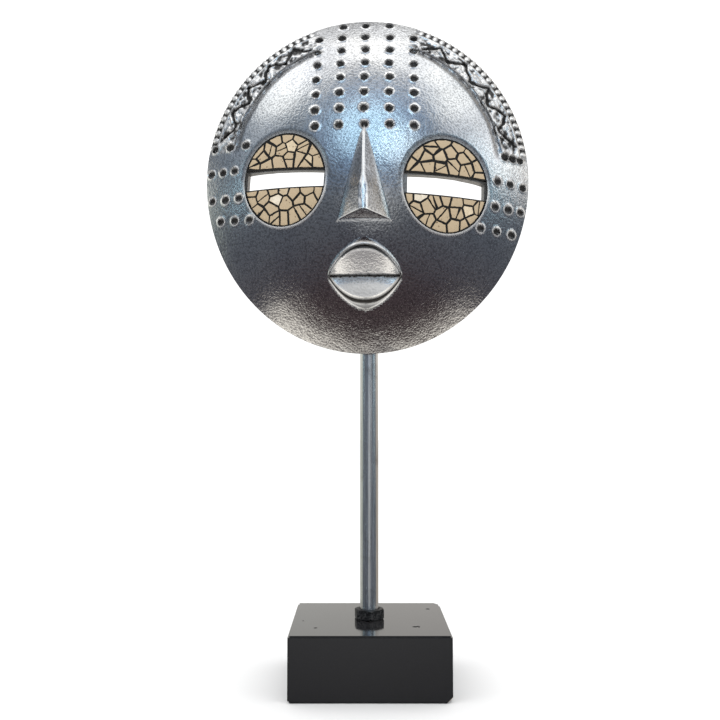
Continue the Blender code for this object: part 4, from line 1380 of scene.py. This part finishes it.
def build_mosaic(name, side, upper, tile, grout):
    """The chips above or below one slit, set in black grout."""
    bed = bmesh.new()

    def bed_top(u, v):
        return dome(u, v) - CHIP_RECESS - GROUT_RECESS + 0.08 * MM * lump(u, v, 1.1 * MM, 71)

    outline = with_short_sides(half_eye(side, upper, FIT_GAP, 96), 2.5 * MM)
    add_pad(bed, outline, off_dome(FIT_GAP - POCKET_DEPTH), bed_top, rings=9)
    base = tool("bed", bed)
    chips = bmesh.new()
    tint_layer = chips.verts.layers.float.new("tint")
    rng = random.Random(f"{side} {upper}")
    finish_rng = random.Random(f"chips {side} {upper}")
    for chip in without_slivers(shatter(half_eye(side, upper, INLAY_MARGIN), rng)):
        for piece in cracked(chip, finish_rng):
            add_chip(chips, piece, tint_layer, finish_rng)
    laid = tool("chips", chips)
    for solid in (base, laid):
        for finish in (grout, tile):
            solid.data.materials.append(finish)
    for polygon in laid.data.polygons:
        polygon.material_index = 1
    mesh = shaped(base, [("UNION", laid)])
    return new_piece(name, mesh, [grout, tile], 30, [name.replace("mosaic", "inlay")])


# Stand

def build_rod(finish):
    """A drawn rod with eased ends."""
    low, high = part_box("rod")
    radius = (high.x - low.x) / 2
    ease_edge = 0.6 * MM
    steps = 24
    profile = [(radius - ease_edge, low.z), (radius, low.z + ease_edge)]
    straight = high.z - low.z - 2 * ease_edge
    profile += [(radius, low.z + ease_edge + straight * i / steps) for i in range(1, steps)]
    profile += [(radius, high.z - ease_edge), (radius - ease_edge, high.z)]
    bm = bmesh.new()
    turned(bm, profile, 96)
    return new_piece("steel_rod", closed_mesh("steel_rod", bm), [finish], 30, ["rod"])


def build_nut(finish, bore):
    """A thin hexagon nut with its corners turned down, a chamfered hole, slightly worn edges and a painted
    highlight round its hole.
    """
    low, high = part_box("hex_nut")
    bottom, top = low.z, high.z
    flat, corner = NUT_ACROSS_FLATS / 2, NUT_ACROSS_FLATS / math.sqrt(3)
    body = bmesh.new()
    turned(body, ((corner, bottom), (corner, top)), 6, NUT_TURN)
    upright = [e for e in body.edges if abs(e.verts[0].co.z - e.verts[1].co.z) > MM]
    bmesh.ops.bevel(body, geom=upright, offset=0.35 * MM, segments=2, affect="EDGES")
    crown = bmesh.new()
    narrow, wide = flat - 0.2 * MM, corner + 0.6 * MM
    turned(crown, (
        (narrow, bottom - 0.2 * MM), (wide, bottom + NUT_CHAMFER),
        (wide, top - NUT_CHAMFER), (narrow, top + 0.2 * MM),
    ), 96)
    hole = bmesh.new()
    mouth = bore + 1.2 * MM
    turned(hole, (
        (mouth, bottom - 0.5 * MM), (bore, bottom + 0.7 * MM),
        (bore, top - 0.7 * MM), (mouth, top + 0.5 * MM),
    ), 64)
    cuts = [("INTERSECT", tool("crown", crown)), ("DIFFERENCE", tool("hole", hole))]
    mesh = shaped(tool("nut", body), cuts)
    spots = points_of(mesh)
    out = np.hypot(spots[:, 0], spots[:, 1])
    # Paler on the worn corners, and a painted highlight on the chamfer round the hole
    set_mark(mesh, "wear", ease(flat, corner, out) * 0.6 + hill(0, 1.2 * MM, out - bore) * 0.6)
    return new_piece("black_nut", mesh, [finish], 30, ["hex_nut"])


def build_block(finish, bore):
    """A polished stone block with eased edges, a few open pores and knocked corners."""
    low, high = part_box("base_block")
    bm = bmesh.new()
    place = Matrix.Translation((low + high) / 2) @ Matrix.Diagonal((*(high - low), 1))
    bmesh.ops.create_cube(bm, size=1, matrix=place)
    bmesh.ops.bevel(bm, geom=bm.edges[:], offset=BLOCK_EDGE, segments=2, affect="EDGES")
    for sides, way, depth in KNOCKS:
        corner = Vector([(low, high)[side][axis] for axis, side in enumerate(sides)])
        way = Vector(way).normalized()
        bmesh.ops.bisect_plane(
            bm, geom=bm.verts[:] + bm.edges[:] + bm.faces[:],
            plane_co=corner - way * depth, plane_no=way, clear_outer=True,
        )
        bmesh.ops.holes_fill(bm, edges=[e for e in bm.edges if e.is_boundary])
    base = tool("block", bm)
    hole = bmesh.new()
    rod_low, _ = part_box("rod")
    turned(hole, ((bore, rod_low.z - FIT_GAP), (bore, high.z + 5 * MM)), 64)
    cuts = [("DIFFERENCE", tool("seat", hole))]
    rng = random.Random("pores")
    for x, y, radius in PORES:
        pore = bmesh.new()
        top = Matrix.Translation((x * MM, y * MM, high.z - 0.1 * radius * MM))
        bmesh.ops.create_icosphere(pore, subdivisions=2, radius=radius * MM, matrix=top)
        for vert in pore.verts:
            vert.co += Vector([rng.uniform(-0.12, 0.12) * radius * MM for _ in range(3)])
        cuts.append(("DIFFERENCE", tool("pore", pore)))
    mesh = shaped(base, cuts)
    spots = points_of(mesh)
    inset = np.minimum(spots - np.array(low), np.array(high) - spots)
    faces_near = (inset < WORN_AND_HIGHLIT_EDGE).sum(axis=1)
    # The edges' paler line: wear and a painted highlight on the bevel
    set_mark(mesh, "wear", (faces_near >= 2) * 0.8)
    set_mark(mesh, "open", (inset[:, 2] > 0.1 * MM) * (inset[:, :2].min(axis=1) > 3 * MM))
    return new_piece("stone_block", mesh, [finish], 35, ["base_block"])


# Stage

def build_stage():
    made, desk = new_material("pale_floor")
    place = desk.place()
    cloud = desk.noise(place, 3, detail=2.0)
    desk.surface({"Base Color": desk.mix(cloud, (0.86, 0.86, 0.86), (0.9, 0.9, 0.9)), "Roughness": 0.8})
    mesh = bpy.data.meshes.new("floor")
    corners = [(x * FLOOR_REACH, y * FLOOR_REACH, 0) for x, y in ((-1, -1), (1, -1), (1, 1), (-1, 1))]
    mesh.from_pydata(corners, [], [(0, 1, 2, 3)])
    mesh.materials.append(made)
    floor = placed("floor", mesh)
    floor.visible_glossy = False


def soft_lobe(desk, way, towards, inner, outer, colour, grain=None):
    """A soft patch of light in one direction, from full at the inner angle to nothing at the outer one."""
    towards = Vector(towards).normalized()
    dot = {"operation": "DOT_PRODUCT"}
    facing = desk.add("ShaderNodeVectorMath", dot, {0: way, 1: towards}, output="Value")
    share = facing.above(math.cos(math.radians(outer)), math.cos(math.radians(inner)))
    if grain is not None:
        share = share * grain
    return desk.mix(share, (0, 0, 0), colour)


def build_world():
    """The studio round the object: bright overhead, dim in front, pale behind and straight below."""
    world = bpy.data.worlds.new("studio")
    bpy.context.scene.world = world
    world.use_nodes = True
    # Only rays that reach the world by themselves know whether they are mirrored ones
    world.cycles.sampling_method = "NONE"
    desk = Desk(world.node_tree)
    way = desk.add("ShaderNodeTexCoord", output="Generated")
    across, depth, up = (
        desk.add("ShaderNodeSeparateXYZ", {}, {"Vector": way}, output=axis) for axis in ("X", "Y", "Z")
    )
    height = up * 0.5 + 0.5
    front = desk.ramp(height, (
        (0.0, (0.055, 0.04, 0.042)), (0.15, (0.062, 0.046, 0.05)), (0.27, (0.08, 0.08, 0.095)),
        (0.4, (0.1, 0.11, 0.13)), (0.5, (0.125, 0.14, 0.165)), (0.58, (0.14, 0.165, 0.2)),
        (0.66, (0.16, 0.19, 0.23)), (0.74, (0.18, 0.215, 0.265)), (0.82, (0.22, 0.26, 0.31)),
        (0.9, (0.33, 0.37, 0.42)), (0.96, (0.46, 0.48, 0.51)), (1.0, (0.5, 0.5, 0.5)),
    ))
    back_left = desk.ramp(height, (
        (0.0, (0.6, 0.57, 0.5)), (0.3, (0.45, 0.45, 0.42)), (0.5, (0.42, 0.44, 0.4)),
        (0.57, (0.92, 0.91, 0.87)), (0.63, (0.88, 0.87, 0.83)), (0.7, (0.13, 0.14, 0.15)),
        (0.82, (0.16, 0.17, 0.19)), (0.9, (0.6, 0.6, 0.6)), (1.0, (0.42, 0.42, 0.42)),
    ))
    back_right = desk.ramp(height, (
        (0.0, (0.6, 0.55, 0.46)), (0.3, (0.36, 0.32, 0.27)), (0.5, (0.38, 0.34, 0.3)),
        (0.57, (0.9, 0.87, 0.83)), (0.63, (0.86, 0.83, 0.79)), (0.7, (0.33, 0.3, 0.26)),
        (0.82, (0.34, 0.32, 0.3)), (0.9, (0.42, 0.41, 0.39)), (1.0, (0.42, 0.42, 0.42)),
    ))
    back = desk.mix(across.above(-0.1, 0.1), back_left, back_right)
    light = desk.mix(depth.above(-0.02, 0.24), front, back)
    under = depth.above(-0.37, -0.23) * up.above(-0.56, -0.7)
    light = desk.mix(under, light, (1.05, 1.0, 0.92))
    grain = desk.noise(way, 30, detail=2.0, roughness=0.6).above(0.5, 0.56)
    lobes = (
        ((0.0, -0.04, 1.0), 3, 14, (0.8, 0.8, 0.8)),
        ((0.26, -0.05, 0.95), 5, 20, (0.85, 0.85, 0.83)),
        ((-0.31, -0.03, 0.95), 5, 18, (0.8, 0.8, 0.8)),
        ((-0.52, 0.02, 0.85), 4, 14, (0.3, 0.3, 0.31)),
        ((-0.6, -0.15, 0.79), 4, 17, (0.95, 0.95, 0.93)),
        ((0.54, -0.26, 0.8), 4, 17, (0.75, 0.75, 0.73)),
        ((0.78, -0.33, 0.53), 6, 24, (0.5, 0.5, 0.5)),
        ((0.92, -0.12, 0.4), 6, 22, (0.35, 0.34, 0.33)),
        ((-0.82, -0.25, 0.5), 4, 16, (0.2, 0.21, 0.22)),
        ((-0.98, 0.15, 0.06), 5, 16, (0.12, 0.14, 0.11)),
        ((0.4, -0.91, 0.06), 2, 8, (0.4, 0.4, 0.38)),
        ((0.0, -1.0, -0.06), 5, 16, (0.36, 0.36, 0.35)),
        ((0.0, -0.74, 0.55), 12, 40, (0.05, 0.12, 0.24)),
    )
    for lobe in lobes:
        light = desk.glow(light, soft_lobe(desk, way, *lobe))
    sparkles = (
        ((-0.02, -0.8, 0.58), 10, 23, (1.2, 1.8, 2.1)),
        ((0.3, -0.86, 0.42), 5, 15, (1.8, 2.1, 2.2)),
        ((-0.94, -0.3, 0.17), 3, 10, (0.9, 1.4, 1.6)),
        ((0.86, -0.42, 0.25), 6, 20, (0.6, 0.95, 1.1)),
        ((0.95, -0.2, 0.3), 4, 16, (0.9, 0.75, 0.6)),
    )
    for sparkle in sparkles:
        light = desk.glow(light, soft_lobe(desk, way, *sparkle, grain))
    seen = desk.add("ShaderNodeLightPath", output="Is Camera Ray")
    soft = desk.add("ShaderNodeLightPath", output="Is Diffuse Ray")
    lit = desk.add("ShaderNodeBackground", {}, {"Color": light, "Strength": 1.0})
    plain = desk.add("ShaderNodeBackground", {}, {"Color": (1, 1, 1, 1), "Strength": 1.25})
    mixed = desk.add("ShaderNodeMixShader", {}, {0: desk.maths("MAXIMUM", seen, soft), 1: lit, 2: plain})
    desk.add("ShaderNodeOutputWorld", {}, {"Surface": mixed})


def add_softbox(name, place, size, power):
    """A soft light that looks at the middle of the mask."""
    target = Vector((MASK_SHIFT, RIM_PLANE, WIDEST_HEIGHT))
    data = bpy.data.lights.new(name, "AREA")
    data.shape = "RECTANGLE"
    data.size, data.size_y = size
    data.energy = power
    lamp = placed(name, data)
    lamp.location = place
    lamp.rotation_euler = (target - Vector(place)).to_track_quat("-Z", "Y").to_euler()
    lamp.visible_glossy = False


def build_camera():
    data = bpy.data.cameras.new("camera")
    data.sensor_width = CAMERA_SENSOR
    data.lens = CAMERA_LENS
    camera = placed("camera", data)
    camera.location = CAMERA_PLACE
    camera.rotation_euler = (CAMERA_TILT, 0, 0)
    bpy.context.scene.camera = camera


def main():
    build_camera()
    build_mask(cast_metal())
    tile, grout = cream_tile(), black_grout()
    for side, side_name in ((-1, "left"), (1, "right")):
        for upper, half_name in ((1, "upper"), (-1, "lower")):
            build_mosaic(f"{side_name}_eye_{half_name}_mosaic", side, upper, tile, grout)
    rod = build_rod(drawn_steel())
    bore = rod.dimensions.x / 2 + FIT_GAP
    build_nut(blackened_steel(), bore)
    build_block(black_stone(), bore)
    build_stage()
    build_world()
    for softbox in SOFTBOXES:
        add_softbox(*softbox)
    bpy.context.scene.view_settings.view_transform = "Standard"


main()
